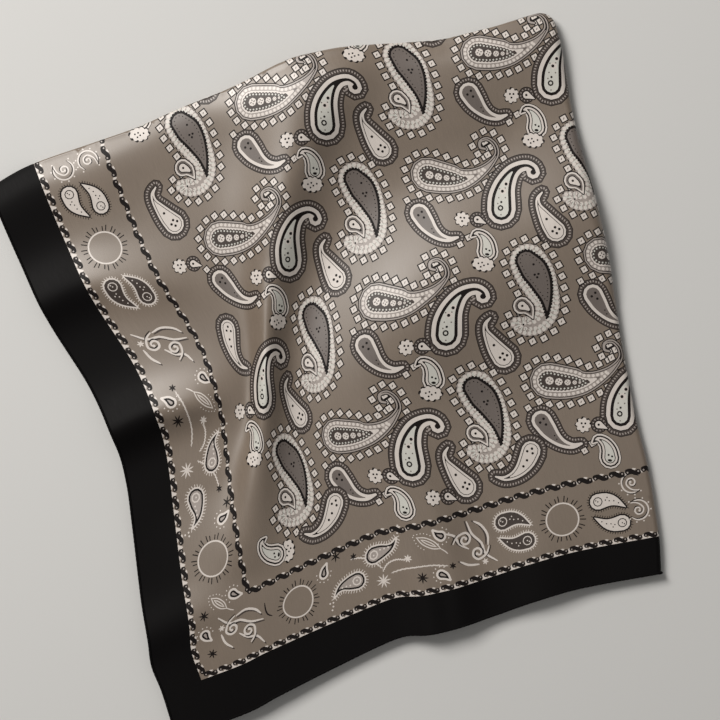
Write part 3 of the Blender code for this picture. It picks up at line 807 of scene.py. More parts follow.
def sun():
    """A ring inside rays that stand in pairs."""
    shapes = []
    for number in range(SUN_RAYS):
        angle = number * 360 / SUN_RAYS + (1.6 if number % 2 else -1.6)
        reach, length = (15.6, 4.6) if number % 4 < 2 else (15.0, 3.6)
        x, y = reach * math.cos(math.radians(angle)), reach * math.sin(math.radians(angle))
        shapes.append((INK, box(x, y, length, 0.8, angle)))
    return shapes + [(WHITE, disc(0, 0, 12.9, 32)), (GROUND, disc(0, 0, 11.8, 32))]


def rays(ink, ribs, grow, pitch, length):
    """Fine rays round a shape with a spine."""
    return bars(ink, ribbon(ribs, grow), pitch, 0.5, length, lean=FLECK_LEAN)


def half_pair(line, fill):
    """One of the two drops of a pair."""
    shapes = rays(line, TWIN, 1.1, 1.9, 2.8) + rings(TWIN, (line, 1.0), (fill, -0.2))
    shapes += [(line, disc(-11.4, 4.6, 3.6, 10)), (fill, disc(-11.4, 4.6, 2.9, 10))]
    specks = (
        (-11.4, 4.6), (-12.8, 5.6), (-10.0, -1), (-8.2, -3.4), (-11.2, -3.0), (-6.6, -6.4), (-3.6, -8.8),
    )
    return shapes + dots(line, specks, 0.55)


def pair(line, fill):
    """Two drops, head to tail."""
    one = half_pair(line, fill)
    return one + [(ink, -points) for ink, points in one]


def star(ink, radius, count, half=0.6):
    """Spikes round a point."""
    wide, neck = half * 0.9, radius * 0.6
    spike = np.array([(0, -half), (neck, -wide), (radius, 0), (neck, wide), (0, half)])
    return [(ink, turned(spike, number * 360 / count + 11)) for number in range(count)]


def tear():
    """A tiny drop with beads round its head."""
    shapes = rings(TEAR, (WHITE, 0.9), (INK, -0.8), (MID, -2.2))
    for number in range(7):
        angle = math.radians(number * 32)
        shapes.append((WHITE, disc(6.2 * math.cos(angle), 1.4 + 6.2 * math.sin(angle), 0.6, 5)))
    return shapes


def leaf(length):
    """A leaf on a stem, with beads round it."""
    outline = [(0, 0), (length * 0.3, 2.9), (length * 0.7, 2.9), (length, 0)]
    whole = np.vstack([smooth_curve(outline, 4), smooth_curve([(x, -y) for x, y in outline[::-1]], 4)])
    middle = (length / 2, 0)
    shapes = [(WHITE, whole), (GROUND, (whole - middle) * (0.86, 0.74) + middle)]
    shapes += [(WHITE, (whole - middle) * (0.66, 0.42) + middle)]
    shapes += [(GROUND, (whole - middle) * (0.5, 0.16) + middle)]
    shapes += [(WHITE, stroke([(-6, -1.6), (-3, -0.6), (1, 0)], 0.4))]
    for spot in along(whole * (1.12, 1.7) + (0.4, 0), 2.5, 0.22, 0.78):
        shapes.append((WHITE, disc(spot.x, spot.y, 0.5, 5)))
    return shapes


def vine(length):
    """A curved stem with fine barbs on both sides."""
    spine = smooth_curve([(0, 0), (length * 0.3, 2.4), (length * 0.7, 2.0), (length, -1.6)], 8)
    shapes = [(WHITE, stroke(spine[::3], 0.45))]
    for index, point in enumerate(spine[1:-1]):
        lean = 55 if index % 2 else -55
        run = spine[index + 2] - spine[index]
        shapes.append((WHITE, box(*point, 2.0, 0.35, math.degrees(math.atan2(run[1], run[0])) + lean)))
    return shapes


def scroll(radius):
    """A curl with a dark shadow."""
    angle = np.linspace(0, 2.6 * math.pi, 9)
    reach = radius * (1 - 0.78 * angle / angle[-1])
    curl = np.column_stack([reach * np.cos(angle), reach * np.sin(angle)])
    line = np.vstack([[(radius * 0.9, -radius * 1.5), (radius * 1.1, -radius * 0.7)], curl])
    shapes = [(INK, stroke(line + (0.7, -0.7), 0.4)), (WHITE, stroke(line, 0.6))]
    return shapes + [(WHITE, disc(curl[-1][0], curl[-1][1], radius * 0.22, 6))]


def crest():
    """A curl inside a beaded open loop."""
    angle = np.radians(np.linspace(-60, 210, 9))
    loop = np.column_stack([np.cos(angle), np.sin(angle)])
    shapes = [(INK, stroke(loop * 7.6 + (0.7, -0.7), 0.45)), (WHITE, stroke(loop * 7.6, 0.6))]
    shapes += [(WHITE, disc(x, y, 0.7, 5)) for x, y in loop * 9.4]
    return shapes + scroll(4.6)


def flourish():
    """Two curls between curved strokes, each with a dark companion."""
    shapes = []
    waves = (
        ((-13, 8), (-6, 4.6), (0, 5.6), (7, 3.4), (14, 3.8)), ((-3, 8), (2, 10.4), (8, 9.6), (12, 7)),
        ((-9, -1), (-6, -6), (-2, -9)), ((1, -1.6), (6, -4.6), (11, -5.0), (15, -9)),
    )
    for points in waves:
        shapes.append((DARK, stroke(np.array(points) + (0.8, -0.9), 0.55)))
        shapes.append((WHITE, stroke(points, 0.6)))
    for x, y, turn in ((-3.4, 1.6, 150), (6.4, -1.2, -20)):
        shapes += [(ink, turned(points, turn) + (x, y)) for ink, points in scroll(3.8)]
    return shapes + [(ink, points + (-9.5, 2.4)) for ink, points in star(WHITE, 1.9, 6, 0.4)]


def rayed():
    """A slim drop with rays all round, and dots off its tail."""
    shapes = rays(WHITE, RAYED, 1.0, 1.9, 3.0) + rings(RAYED, (WHITE, 0.6), (INK, -0.5), (MID, -1.8))
    shapes += [(WHITE, disc(0, 0.4, 3.4, 8)), (MID, disc(0, 0.4, 2.4, 8))]
    shapes += dots(WHITE, ((2.9, -7.4), (4.4, -10), (1.2, -5), (0.2, 0.6)), 0.7)
    return shapes + dots(WHITE, ((1.6, -21.5), (-0.4, -23.4), (2.8, -23.6), (-1.8, -25.6)), 0.7)


def link(inner):
    """One link of the ropes that edge the band, with x along the rope and y towards the field."""
    size = 1.0 if inner else 0.86
    shapes = [(WHITE, np.array([(-2.6, 1.2), (0.4, 2.9), (2.8, 2.2), (1.2, 0.6)]) * size)]
    shapes += [(WHITE, np.array([(5.4, -0.4), (6.8, -1.9), (8.4, 0.4), (7.0, 1.9)]) * size)]
    if not inner:
        for x, height in ((-1.0, 2.0), (6.6, 3.2)):
            shapes.append((WHITE, np.array([(x - 2.8, -2.9), (x + 2.8, -2.9), (x + 0.4, height - 2.9)])))
    shapes.append((INK, ribbon(LINK, 0.35) * size))
    for side in (-1, 1):
        shapes += [(INK, disc(-4.0 * side, 0.5 * side, 2.1, 8) * size)]
        shapes += [(MID, disc(-4.1 * side, 0.1 * side, 0.72, 6) * size)]
    return shapes


def plan_scale(place):
    """How much the cloth is taken up across and up the scarf where it lies without folds."""
    up, across = place.t / ROLL_START, place.s / ROLL_START
    width = (BOTTOM_RIGHT.x - BOTTOM_LEFT.x) * (1 - up) + (TOP_RIGHT.x - TOP_LEFT.x) * up
    height = (TOP_LEFT.y - BOTTOM_LEFT.y) * (1 - across) + (TOP_RIGHT.y - BOTTOM_RIGHT.y) * across
    return np.array([width, height]) / ROLL_START


def divided(outline):
    """The outline with points added on its long sides, so that it can follow the cloth."""
    legs = np.roll(outline, -1, axis=0) - outline
    longest = LONGEST_LEG if outline.max() < ROLL_START - LONGEST_LEG else LONGEST_ROLLED_LEG
    counts = np.maximum(np.ceil(np.hypot(legs[:, 0], legs[:, 1]) / longest), 1).astype(int)
    if counts.max() < 2:
        return outline
    share = np.concatenate([np.arange(count) / count for count in counts])
    return np.repeat(outline, counts, axis=0) + np.repeat(legs, counts, axis=0) * share[:, None]


class Print:
    """Filled outlines on the flat cloth, in the order in which they are laid."""

    def __init__(self):
        self.shapes = []

    def fill(self, ink, points):
        """Lay one outline over what is there."""
        self.shapes.append((ink, divided(np.asarray(points, float))))

    def lay(self, shapes, place):
        """Lay a motif. It keeps its own proportions where the cloth is taken up."""
        scale = plan_scale(place)
        for ink, points in shapes:
            self.fill(ink, turned(points * place.size, place.turn) / scale + (place.s, place.t))

    def lay_upright(self, shapes, place):
        """Lay a motif that is drawn upright as the photo shows it."""
        self.lay(shapes, place._replace(turn=place.turn + PHOTO_TURN))


# The repeat of the field, moved by whole columns and rows. Least is how near a motif may come to the
# left and the bottom edge, and the sum of its distances from the two is over FIELD_CORNER.
REPEAT = (180, 0)
STAGGER = (-60, -88)
Motif = namedtuple("Motif", "draw s t least")
FIELD = [
    Motif(plume, 226, 429, 118), Motif(hook, 269, 407, 100), Motif(shell, 154, 417, 108),
    Motif(sprout, 201, 393, 100), Motif(seed, 114, 377, 100), Motif(bud, 238, 365, 98),
    Motif(blossom, 238, 365, 110), Motif(bloom, 230, 391, 96),
]
FIELD_CORNER = 240
FILLERS = [
    (corner_bud, Place(118, 106)), (pod, Place(118, 267)), (low_pod, Place(175, 113)),
    (low_pod, Place(350, 110)), (bloom, Place(110, 335)), (bloom, Place(271, 102)),
]

# What stands in the band. The bottom band mirrors the left one, at places of its own.
BandMotif = namedtuple(
    "BandMotif", "shapes left_s left_t bottom_s bottom_t turn size", defaults=(0, 1.0),
)
BAND_MOTIFS = [
    BandMotif(pair(INK, WHITE), 57, 408, 412, 57, -17), BandMotif(sun(), 57, 369, 371, 59),
    BandMotif(pair(WHITE, DARK), 59, 331, 329, 60, -17), BandMotif(flourish(), 56, 284, 290, 57, -17, 1.45),
    BandMotif(tear(), 77, 250, 264, 74, 20), BandMotif(tear(), 45, 243, 260, 44, 200),
    BandMotif(leaf(22), 65, 244, 264, 64, -55), BandMotif(star(INK, 2.9, 6), 50, 252, 270, 49),
    BandMotif(star(INK, 4.9, 8), 46, 227, 242, 45), BandMotif(vine(43), 51, 249, 266, 50, -86),
    BandMotif(star(WHITE, 3.4, 7), 67, 221, 234, 62), BandMotif(vine(20), 66, 219, 232, 61, -104),
    BandMotif(vine(29), 56, 194, 211, 57, -52), BandMotif(star(WHITE, 6.0, 9), 46, 190, 209, 47),
    BandMotif(rayed(), 70, 189, 206, 70, 145, 1.1), BandMotif(rayed(), 51, 168, 186, 55, -26, 1.1),
    BandMotif(star(INK, 3.0, 6), 74, 168, 187, 75), BandMotif(star(INK, 4.6, 6), 80, 156, 171, 81),
    BandMotif(tear(), 74, 146, 158, 73, 90), BandMotif(sun(), 60, 121, 131, 59),
    BandMotif(crest(), 50, 435, 434, 77, 200), BandMotif(crest(), 70, 436, 436, 55, 20),
]
CORNER_MOTIFS = [
    (flourish(), Place(73, 59, -17, 1.5)), (leaf(17), Place(65, 81, 132)), (tear(), Place(73, 89, 40)),
    (tear(), Place(44, 65, 10)), (star(INK, 4.4, 7), Place(44, 82)), (star(INK, 4.2, 7), Place(47, 48)),
    ([(INK, stroke([(-4, 7), (-1.6, 1), (1, -2.6), (5, -4.4)], 0.6))], Place(102, 63, -17)),
]


# The two ropes that edge the band: where each runs, on which side of the band, and how long a link is.
Rope = namedtuple("Rope", "line inner pitch")
ROPES = [Rope(BORDER + 2.6, False, 13.0), Rope(BAND, True, 13.8)]


def draw_field(sheet):
    """The repeat of the field, and the fillers near the corner of the band."""
    for row in range(-1, 6):
        for column in range(-2, 4):
            for motif in FIELD:
                s = motif.s + column * REPEAT[0] + row * STAGGER[0]
                t = motif.t + column * REPEAT[1] + row * STAGGER[1]
                if min(s, t) > motif.least and max(s, t) < PRINT_END and s + t > FIELD_CORNER:
                    sheet.lay_upright(motif.draw(), Place(s, t))
    for draw, place in FILLERS:
        sheet.lay_upright(draw(), place)


def draw_band(sheet):
    """The left band, the bottom one that mirrors it, and the corner between them."""
    for motif in BAND_MOTIFS:
        sheet.lay(motif.shapes, Place(motif.left_s, motif.left_t, motif.turn, motif.size))
        mirrored = [(ink, turned(points, motif.turn)[:, ::-1]) for ink, points in motif.shapes]
        sheet.lay(mirrored, Place(motif.bottom_s, motif.bottom_t, 0, motif.size))
    for shapes, place in CORNER_MOTIFS:
        sheet.lay(shapes, place)


def draw_borders(sheet):
    """The ropes along the band, and the plain border outside them."""
    for line, inner, pitch in ROPES:
        for number in range(int((PRINT_END - line) / pitch)):
            place = line + (number + 0.5) * pitch
            sheet.lay(link(inner), Place(place, line))
            sheet.lay([(ink, points * (1, -1)) for ink, points in link(inner)], Place(line, place, 90))
    low, high = PRINT_START, PRINT_END
    sheet.fill(BLACK, [(low, low), (high, low), (high, BORDER), (low, BORDER)])
    sheet.fill(BLACK, [(low, low), (BORDER, low), (BORDER, high), (low, high)])


def draw_print():
    """All shapes of the print, in the order in which they are laid."""
    sheet = Print()
    draw_field(sheet)
    draw_band(sheet)
    draw_borders(sheet)
    return sheet.shapes


def inside(points, outline):
    """Which points lie inside an outline that may cross itself, by the turns it makes round them."""
    x, y = points[:, 0:1], points[:, 1:2]
    x0, y0 = outline[:, 0], outline[:, 1]
    x1, y1 = np.roll(x0, -1), np.roll(y0, -1)
    side = (x1 - x0) * (y - y0) - (x - x0) * (y1 - y0)
    turns = ((y0 <= y) & (y1 > y) & (side > 0)).sum(1) - ((y0 > y) & (y1 <= y) & (side < 0)).sum(1)
    return turns != 0


def colored(centres, shapes):
    """The ink at each of these places. The shapes are searched from the last laid to the first."""
    ink = np.full(len(centres), NO_INK)
    cells = np.maximum(np.floor(centres / BUCKET).astype(int), 0)
    across, rows = cells.max(0) + 1
    key = cells[:, 1] * across + cells[:, 0]
    order = np.argsort(key, kind="stable")
    keys = key[order]
    for color, outline in reversed(shapes):
        low, high = outline.min(0), outline.max(0)
        first = np.maximum(np.floor(low / BUCKET).astype(int), 0)
        last = np.minimum(np.floor(high / BUCKET).astype(int), (across - 1, rows - 1))
        if (last < first).any():
            continue
        starts = np.arange(first[1], last[1] + 1) * across
        begins = np.searchsorted(keys, starts + first[0])
        ends = np.searchsorted(keys, starts + last[0], "right")
        near = np.concatenate([order[begin:end] for begin, end in zip(begins, ends)])
        near = near[ink[near] == NO_INK]
        spots = centres[near]
        near = near[(spots >= low).all(1) & (spots <= high).all(1)]
        if len(near):
            ink[near[inside(centres[near], outline)]] = color
    ink[ink == NO_INK] = GROUND
    return ink


def clear_of(places, others, reach):
    """Those of the places that have none of the others in the cells round them."""
    size = int((max(places.max(), others.max()) + 2) / reach) + 4
    taken = np.zeros((size, size), bool)
    i, j = (np.floor(np.clip(others, 0, None) / reach).astype(int) + 1).T
    for across in (-1, 0, 1):
        for up in (-1, 0, 1):
            taken[i + across, j + up] = True
    i, j = (np.floor(places / reach).astype(int) + 1).T
    return places[~taken[i, j]]


def triangulated(outline, shapes, loose):
    """Triangles over the inside of an outline, with an edge along every shape's outline."""
    low, high = outline.min(0), outline.max(0)
    outlines = [outline] + [
        shape for _, shape in shapes if (shape.max(0) > low).all() and (shape.min(0) < high).all()
    ]
    loose = clear_of(loose, np.vstack(outlines), GRID_CLEARANCE)
    starts = np.cumsum([0] + [len(ring) for ring in outlines])
    edges = [
        (start + k, start + (k + 1) % len(ring))
        for start, ring in zip(starts.tolist(), outlines) for k in range(len(ring))
    ]
    points = np.vstack(outlines + [loose]).tolist()
    flat, _, faces, _, _, _ = delaunay_2d_cdt(points, edges, [], 0, MERGE, False)
    flat = np.array([tuple(point) for point in flat])
    faces = np.array([face for face in faces if len(face) == 3])
    centres = flat[faces].mean(1)
    kept = inside(centres, outline)
    used, faces = np.unique(faces[kept], return_inverse=True)
    return flat[used], faces.reshape(-1, 3), centres[kept]


def rim_loop(faces):
    """The vertices round the open edge of a triangulation, in order."""
    legs = np.vstack([faces[:, [0, 1]], faces[:, [1, 2]], faces[:, [2, 0]]])
    span = faces.max() + 1
    alone = ~np.isin(legs[:, 0] * span + legs[:, 1], legs[:, 1] * span + legs[:, 0])
    after = dict(legs[alone].tolist())
    loop = [next(iter(after))]
    while after[loop[-1]] != loop[0]:
        loop.append(after[loop[-1]])
    return loop


def stations(start, stop, step):
    """Places from start to stop, evenly apart by about a step."""
    return np.linspace(start, stop, max(int(round(abs(stop - start) / step)), 1) + 1)


def top_domain():
    """Outline of the first layer when flat, and the points that carry it round its two folds."""
    middle = ROLL_START - CORNER_LINE
    side = stations(0, middle, EDGE_STEP)
    turn = np.linspace(0, math.pi / 2, 9)[1:-1]
    line = np.full_like(side, ROLL_START)
    edge_s = np.concatenate([line, middle + CORNER_LINE * np.cos(turn), side[::-1]])
    edge_t = np.concatenate([side, middle + CORNER_LINE * np.sin(turn), line])
    out_s = np.concatenate([np.ones_like(side), np.cos(turn), np.zeros_like(side)])
    out_t = np.concatenate([np.zeros_like(side), np.sin(turn), np.ones_like(side)])
    reach = roll_length(edge_s, edge_t) + TAIL
    rows = [
        np.column_stack([edge_s + out_s * reach * share, edge_t + out_t * reach * share])
        for share in np.linspace(0, 1, ROLL_STEPS + 1)
    ]
    bottom_s = stations(0, rows[-1][0, 0], EDGE_STEP)[:-1]
    bottom = np.column_stack([bottom_s, np.zeros_like(bottom_s)])
    left_t = stations(rows[-1][-1, 1], 0, EDGE_STEP)[1:-1]
    left = np.column_stack([np.zeros_like(left_t), left_t])
    return np.vstack([bottom, rows[-1], left]), np.vstack(rows[:-1])


def hex_points(low, high, step):
    """Points in a triangular grid."""
    points = []
    for k, t in enumerate(np.arange(low, high, step * math.sqrt(3) / 2)):
        line = np.arange(low + step / 2 * (k % 2), high, step)
        points.append(np.column_stack([line, np.full_like(line, t)]))
    return np.vstack(points)


def hidden_edge(layer, along_edge):
    """How far in a hidden layer's cut edge lies, at this distance along it."""
    return layer.inset + layer.wander * np.sin(2 * math.pi * along_edge / layer.wave + layer.phase)


def bottom_domain():
    """Outline of the bottom layer when flat. It ends just inside the two folds."""
    far = ROLL_START - HIDDEN_END
    middle = far - CORNER_LINE
    side = stations(BOTTOM_START, middle, 2 * EDGE_STEP)
    turn = np.linspace(0, math.pi / 2, 5)[1:-1]
    bottom = np.column_stack([side, hidden_edge(BOTTOM, side)])
    right = np.column_stack([np.full_like(side, far), side])
    corner = np.column_stack([middle + CORNER_LINE * np.cos(turn), middle + CORNER_LINE * np.sin(turn)])
    top = np.column_stack([side[::-1], np.full_like(side, far)])
    left = np.column_stack([hidden_edge(BOTTOM, side), side])[::-1]
    return np.vstack([
        bottom[1:], [(far, hidden_edge(BOTTOM, far))], right[1:], corner, top[:-1],
        [(hidden_edge(BOTTOM, far), far)], left[:-1], [(BOTTOM_CORNER, BOTTOM_CORNER)],
    ])


def make_mesh(name, points, faces, slots, materials, normals=None, maps=()):
    """A smooth mesh object from points in millimetres, riding on the part."""
    mesh = bpy.data.meshes.new(name)
    faces = np.asarray(faces)
    sides = faces.shape[1]
    mesh.vertices.add(len(points))
    mesh.vertices.foreach_set("co", (np.asarray(points) * MM).astype(np.float32).ravel())
    mesh.loops.add(faces.size)
    mesh.loops.foreach_set("vertex_index", faces.astype(np.int32).ravel())
    mesh.polygons.add(len(faces))
    mesh.polygons.foreach_set("loop_start", np.arange(0, faces.size, sides, dtype=np.int32))
    for material in materials:
        mesh.materials.append(material)
    mesh.polygons.foreach_set("material_index", np.asarray(slots, dtype=np.int32))
    mesh.update(calc_edges=True)
    mesh.validate()
    mesh.shade_smooth()
    for map_name, values in maps:
        layer = mesh.uv_layers.new(name=map_name)
        index = np.empty(len(mesh.loops), np.int32)
        mesh.loops.foreach_get("vertex_index", index)
        layer.data.foreach_set("uv", np.asarray(values)[index].astype(np.float32).ravel())
    if normals is not None:
        mesh.normals_split_custom_set_from_vertices(normals.tolist())
    obj = bpy.data.objects.new(name, mesh)
    bpy.context.scene.collection.objects.link(obj)
    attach(obj, "root")
    return obj


def back_mesh(rim, loose, outline):
    """A coarse triangulation inside a rim, and the vertex that stands for each point of the rim."""
    rim_edges = [(k, (k + 1) % len(rim)) for k in range(len(rim))]
    points = np.vstack([rim, clear_of(loose, rim, GRID_CLEARANCE)]).tolist()
    flat, _, faces, origin, _, _ = delaunay_2d_cdt(points, rim_edges, [], 0, EXACT, True)
    flat = np.array([tuple(point) for point in flat])
    faces = np.array(faces)
    faces = faces[inside(flat[faces].mean(1), outline)]
    return flat, faces, {old: new for new, olds in enumerate(origin) for old in olds}


def edge_strip(loop, back_loop):
    """Triangles that join the rim of the printed face to the rim of the back."""
    strip = []
    for k, vertex in enumerate(loop):
        following = (k + 1) % len(loop)
        strip.append((loop[following], vertex, back_loop[k]))
        strip.append((loop[following], back_loop[k], back_loop[following]))
    return strip


def bake_map(places, count):
    """A map without overlaps, for a sheet whose first places, this many, are those of its face."""
    bake = places / BAKE_REACH
    bake[:count, 1] = FACE_START + FACE_SPAN * bake[:count, 1]
    bake[count:, 1] *= BACK_SPAN
    bake[:, 0] = BAKE_START + BAKE_SPAN * bake[:, 0]
    return bake


def printed_sheet(name, surface, outline, loose, back_loose, shapes, inks, face_down=False):
    """The printed cloth as a closed thin shell: a fine printed face and a coarse back."""
    flat, faces, centres = triangulated(outline, shapes, loose)
    loop = rim_loop(faces)
    back_flat, back_faces, vertex_of = back_mesh(flat[loop], back_loose, outline)
    front, facing = surface(*flat.T), surface_normals(surface, *flat.T)
    inward = surface_normals(surface, *back_flat.T)
    back = surface(*back_flat.T) - inward * THICKNESS
    count = len(front)
    strip = edge_strip(loop, [count + vertex_of[k] for k in range(len(loop))])
    all_faces = np.vstack([faces, back_faces[:, ::-1] + count, strip])
    points, normals = np.vstack([front, back]), np.vstack([facing, -inward])
    everywhere = np.vstack([flat, back_flat])
    behind = everywhere[all_faces[len(faces):]].mean(1).min(1)
    slots = np.concatenate([colored(centres, shapes), np.where(behind < BORDER, BLACK, GROUND)])
    if face_down:
        all_faces, normals = all_faces[:, ::-1], -normals
        points[:, 2] = 2 * BASE - THICKNESS - points[:, 2]
    maps = (("cloth", everywhere / CLOTH_MAP), ("OFBake", bake_map(everywhere, count)))
    return make_mesh(name, points, all_faces, slots, inks, normals, maps)


def hidden_sheet(name, layer, materials):
    """A hidden layer of cloth over a plain grid, with its roll at one fold."""
    far = ROLL_START - HIDDEN_END
    cells = stations(0, 1, HIDDEN_CELL / SIDE)
    i, j = np.meshgrid(cells, cells, indexing="ij")
    s_start, t_start = hidden_edge(layer, j * SIDE), hidden_edge(layer, i * SIDE)
    s_stop = ROLL_START if layer.fold == "right" else far
    t_stop = ROLL_START if layer.fold == "top" else far
    s, t = s_start + i * (s_stop - s_start), t_start + j * (t_stop - t_start)
    turns = np.linspace(0, 1, ROLL_STEPS + 1)[1:]
    if layer.fold == "right":
        reach = math.pi * (cloth_height(s[-1], t[-1]) - BASE) / 6
        s = np.vstack([s, ROLL_START + turns[:, None] * reach])
        t = np.vstack([t, np.broadcast_to(t[-1], (ROLL_STEPS, t.shape[1]))])
    else:
        t[:, -1] -= corner_pull(s[:, -1])
        reach = math.pi * (cloth_height(s[:, -1], t[:, -1]) - BASE) / 6
        t = np.hstack([t, t[:, -1:] + reach[:, None] * turns])
        s = np.hstack([s, np.broadcast_to(s[:, -1:], (s.shape[0], ROLL_STEPS))])
    points = hidden_surface(layer, s, t).reshape(-1, 3)
    index = np.arange(s.size).reshape(s.shape)
    faces = np.stack([index[:-1, :-1], index[1:, :-1], index[1:, 1:], index[:-1, 1:]], axis=-1)
    faces = faces.reshape(-1, 4)
    flat = np.column_stack([s.ravel(), t.ravel()])
    slots = (flat[faces].mean(1).min(1) < BORDER).astype(int)
    obj = make_mesh(name, points, faces, slots, materials, maps=(("cloth", flat / CLOTH_MAP),))
    wall = obj.modifiers.new("wall", "SOLIDIFY")
    wall.thickness = THICKNESS * MM
    wall.offset = -1
    return obj


def swept_tube(name, route, material):
    """A rolled hem along its route, dimpled where each stitch draws it in."""
    route = np.asarray(route, float)
    legs = np.hypot(*np.diff(route[:, :2], axis=0).T) + np.abs(np.diff(route[:, 2])) * 0.5
    length = np.concatenate([[0], np.cumsum(legs)])
    run = unit(np.gradient(route, axis=0))
    side = np.cross(run, (0, 0, 1))
    for k in range(len(side)):
        if np.linalg.norm(side[k]) < STEEPEST:
            side[k] = side[k - 1] - run[k] * (side[k - 1] @ run[k])
        side[k] /= np.linalg.norm(side[k])
    up = np.cross(side, run)
    angles = np.arange(HEM_SIDES) * 2 * math.pi / HEM_SIDES
    phase = length / STITCH_PITCH
    near = np.abs(phase - np.round(phase)) * STITCH_PITCH
    radius = HEM_RADIUS - STITCH_DEPTH * np.exp(-(near / STITCH_WIDTH) ** 2)
    cos, sin = np.cos(angles)[None, :, None], np.sin(angles)[None, :, None]
    tube = route[:, None] + radius[:, None, None] * (cos * side[:, None] + sin * up[:, None])
    count = len(route)
    index = np.arange(count * HEM_SIDES).reshape(count, HEM_SIDES)
    after = np.roll(index, -1, axis=1)
    quads = np.stack([index[:-1], after[:-1], after[1:], index[1:]], axis=-1).reshape(-1, 4)
    triangles = np.vstack([quads[:, [0, 1, 2]], quads[:, [0, 2, 3]]])
    points = np.vstack([tube.reshape(-1, 3), route[:1], route[-1:]])
    first, last = count * HEM_SIDES, count * HEM_SIDES + 1
    ends = [(first, after[0, k], index[0, k]) for k in range(HEM_SIDES)]
    ends += [(last, index[-1, k], after[-1, k]) for k in range(HEM_SIDES)]
    triangles = np.vstack([triangles, ends])
    flat = np.column_stack([np.repeat(length, HEM_SIDES), np.tile(angles, count)])
    flat = np.vstack([flat, [(0, 0), (length[-1], 0)]])
    maps = (("cloth", flat / CLOTH_MAP),)
    return make_mesh(name, points, triangles, np.zeros(len(triangles)), [material], maps=maps)


def top_hem(name, s, t, out, material):
    """The hem of the first layer, beside its edge at s, t."""
    surface = top_surface(s, t)
    normal = surface_normals(top_surface, s, t)
    beyond = unit(top_surface(s + out[0] * HEM_PROBE, t + out[1] * HEM_PROBE) - surface)
    route = surface - normal * THICKNESS / 2 + beyond * HEM_OUT
    route[:, 2] = np.maximum(route[:, 2], HEM_LOWEST)
    return swept_tube(name, route, material)


def hidden_hem(name, layer, s, t, out, material):
    """The hem of a hidden layer, raised so that the lowest lies on the floor and none presses another."""
    edge = hidden_surface(layer, s, t)
    beyond = unit(hidden_surface(layer, s + out[0] * HEM_PROBE, t + out[1] * HEM_PROBE) - edge)
    route = edge + beyond * HEM_OUT
    low, lift = BASE - THICKNESS / 2, HEM_LOWEST - BASE + THICKNESS / 2
    top = cloth_height(np.minimum(s, ROLL_START), np.minimum(t, ROLL_START)) - THICKNESS / 2
    height = route[:, 2] - THICKNESS / 2
    route[:, 2] = height + lift * (top - height) / (top - low)
    return swept_tube(name, route, material)


def satin(name, color, roughness, specular, sheen):
    """Printed satin: fine warp threads, a slow change of tone and a soft sheen."""
    material = bpy.data.materials.new(name)
    material.use_nodes = True
    nodes, links = material.node_tree.nodes, material.node_tree.links
    shader = nodes["Principled BSDF"]
    place = nodes.new("ShaderNodeUVMap")
    place.uv_map = "cloth"
    stretch = nodes.new("ShaderNodeMapping")
    stretch.inputs["Scale"].default_value = THREAD_STRETCH
    links.new(place.outputs["UV"], stretch.inputs["Vector"])
    thread = nodes.new("ShaderNodeTexNoise")
    thread.inputs["Scale"].default_value = 1.0
    thread.inputs["Detail"].default_value = 2.0
    links.new(stretch.outputs["Vector"], thread.inputs["Vector"])
    cloud = nodes.new("ShaderNodeTexNoise")
    cloud.inputs["Scale"].default_value = DRIFT_SCALE
    cloud.inputs["Detail"].default_value = 3.0
    links.new(place.outputs["UV"], cloud.inputs["Vector"])
    blend = nodes.new("ShaderNodeMath")
    blend.operation = "ADD"
    links.new(thread.outputs["Fac"], blend.inputs[0])
    links.new(cloud.outputs["Fac"], blend.inputs[1])
    tone = nodes.new("ShaderNodeMapRange")
    tone.inputs["From Min"].default_value, tone.inputs["From Max"].default_value = NOISE_RANGE
    tone.inputs["To Min"].default_value, tone.inputs["To Max"].default_value = TONE
    links.new(blend.outputs[0], tone.inputs["Value"])
    scaled = nodes.new("ShaderNodeVectorMath")
    scaled.operation = "SCALE"
    scaled.inputs[0].default_value = color
    links.new(tone.outputs["Result"], scaled.inputs["Scale"])
    links.new(scaled.outputs[0], shader.inputs["Base Color"])
    gloss = nodes.new("ShaderNodeMapRange")
    gloss.inputs["To Min"].default_value = roughness - GLOSS_BELOW
    gloss.inputs["To Max"].default_value = roughness + GLOSS_ABOVE
    links.new(thread.outputs["Fac"], gloss.inputs["Value"])
    links.new(gloss.outputs["Result"], shader.inputs["Roughness"])
    bump = nodes.new("ShaderNodeBump")
    bump.inputs["Strength"].default_value = THREAD_STRENGTH
    bump.inputs["Distance"].default_value = THREAD_DEPTH
    links.new(thread.outputs["Fac"], bump.inputs["Height"])
    links.new(bump.outputs["Normal"], shader.inputs["Normal"])
    shader.inputs["Specular IOR Level"].default_value = specular
    shader.inputs["IOR"].default_value = SATIN_IOR
    shader.inputs["Sheen Weight"].default_value = sheen
    shader.inputs["Sheen Roughness"].default_value = SHEEN_ROUGHNESS
    return material


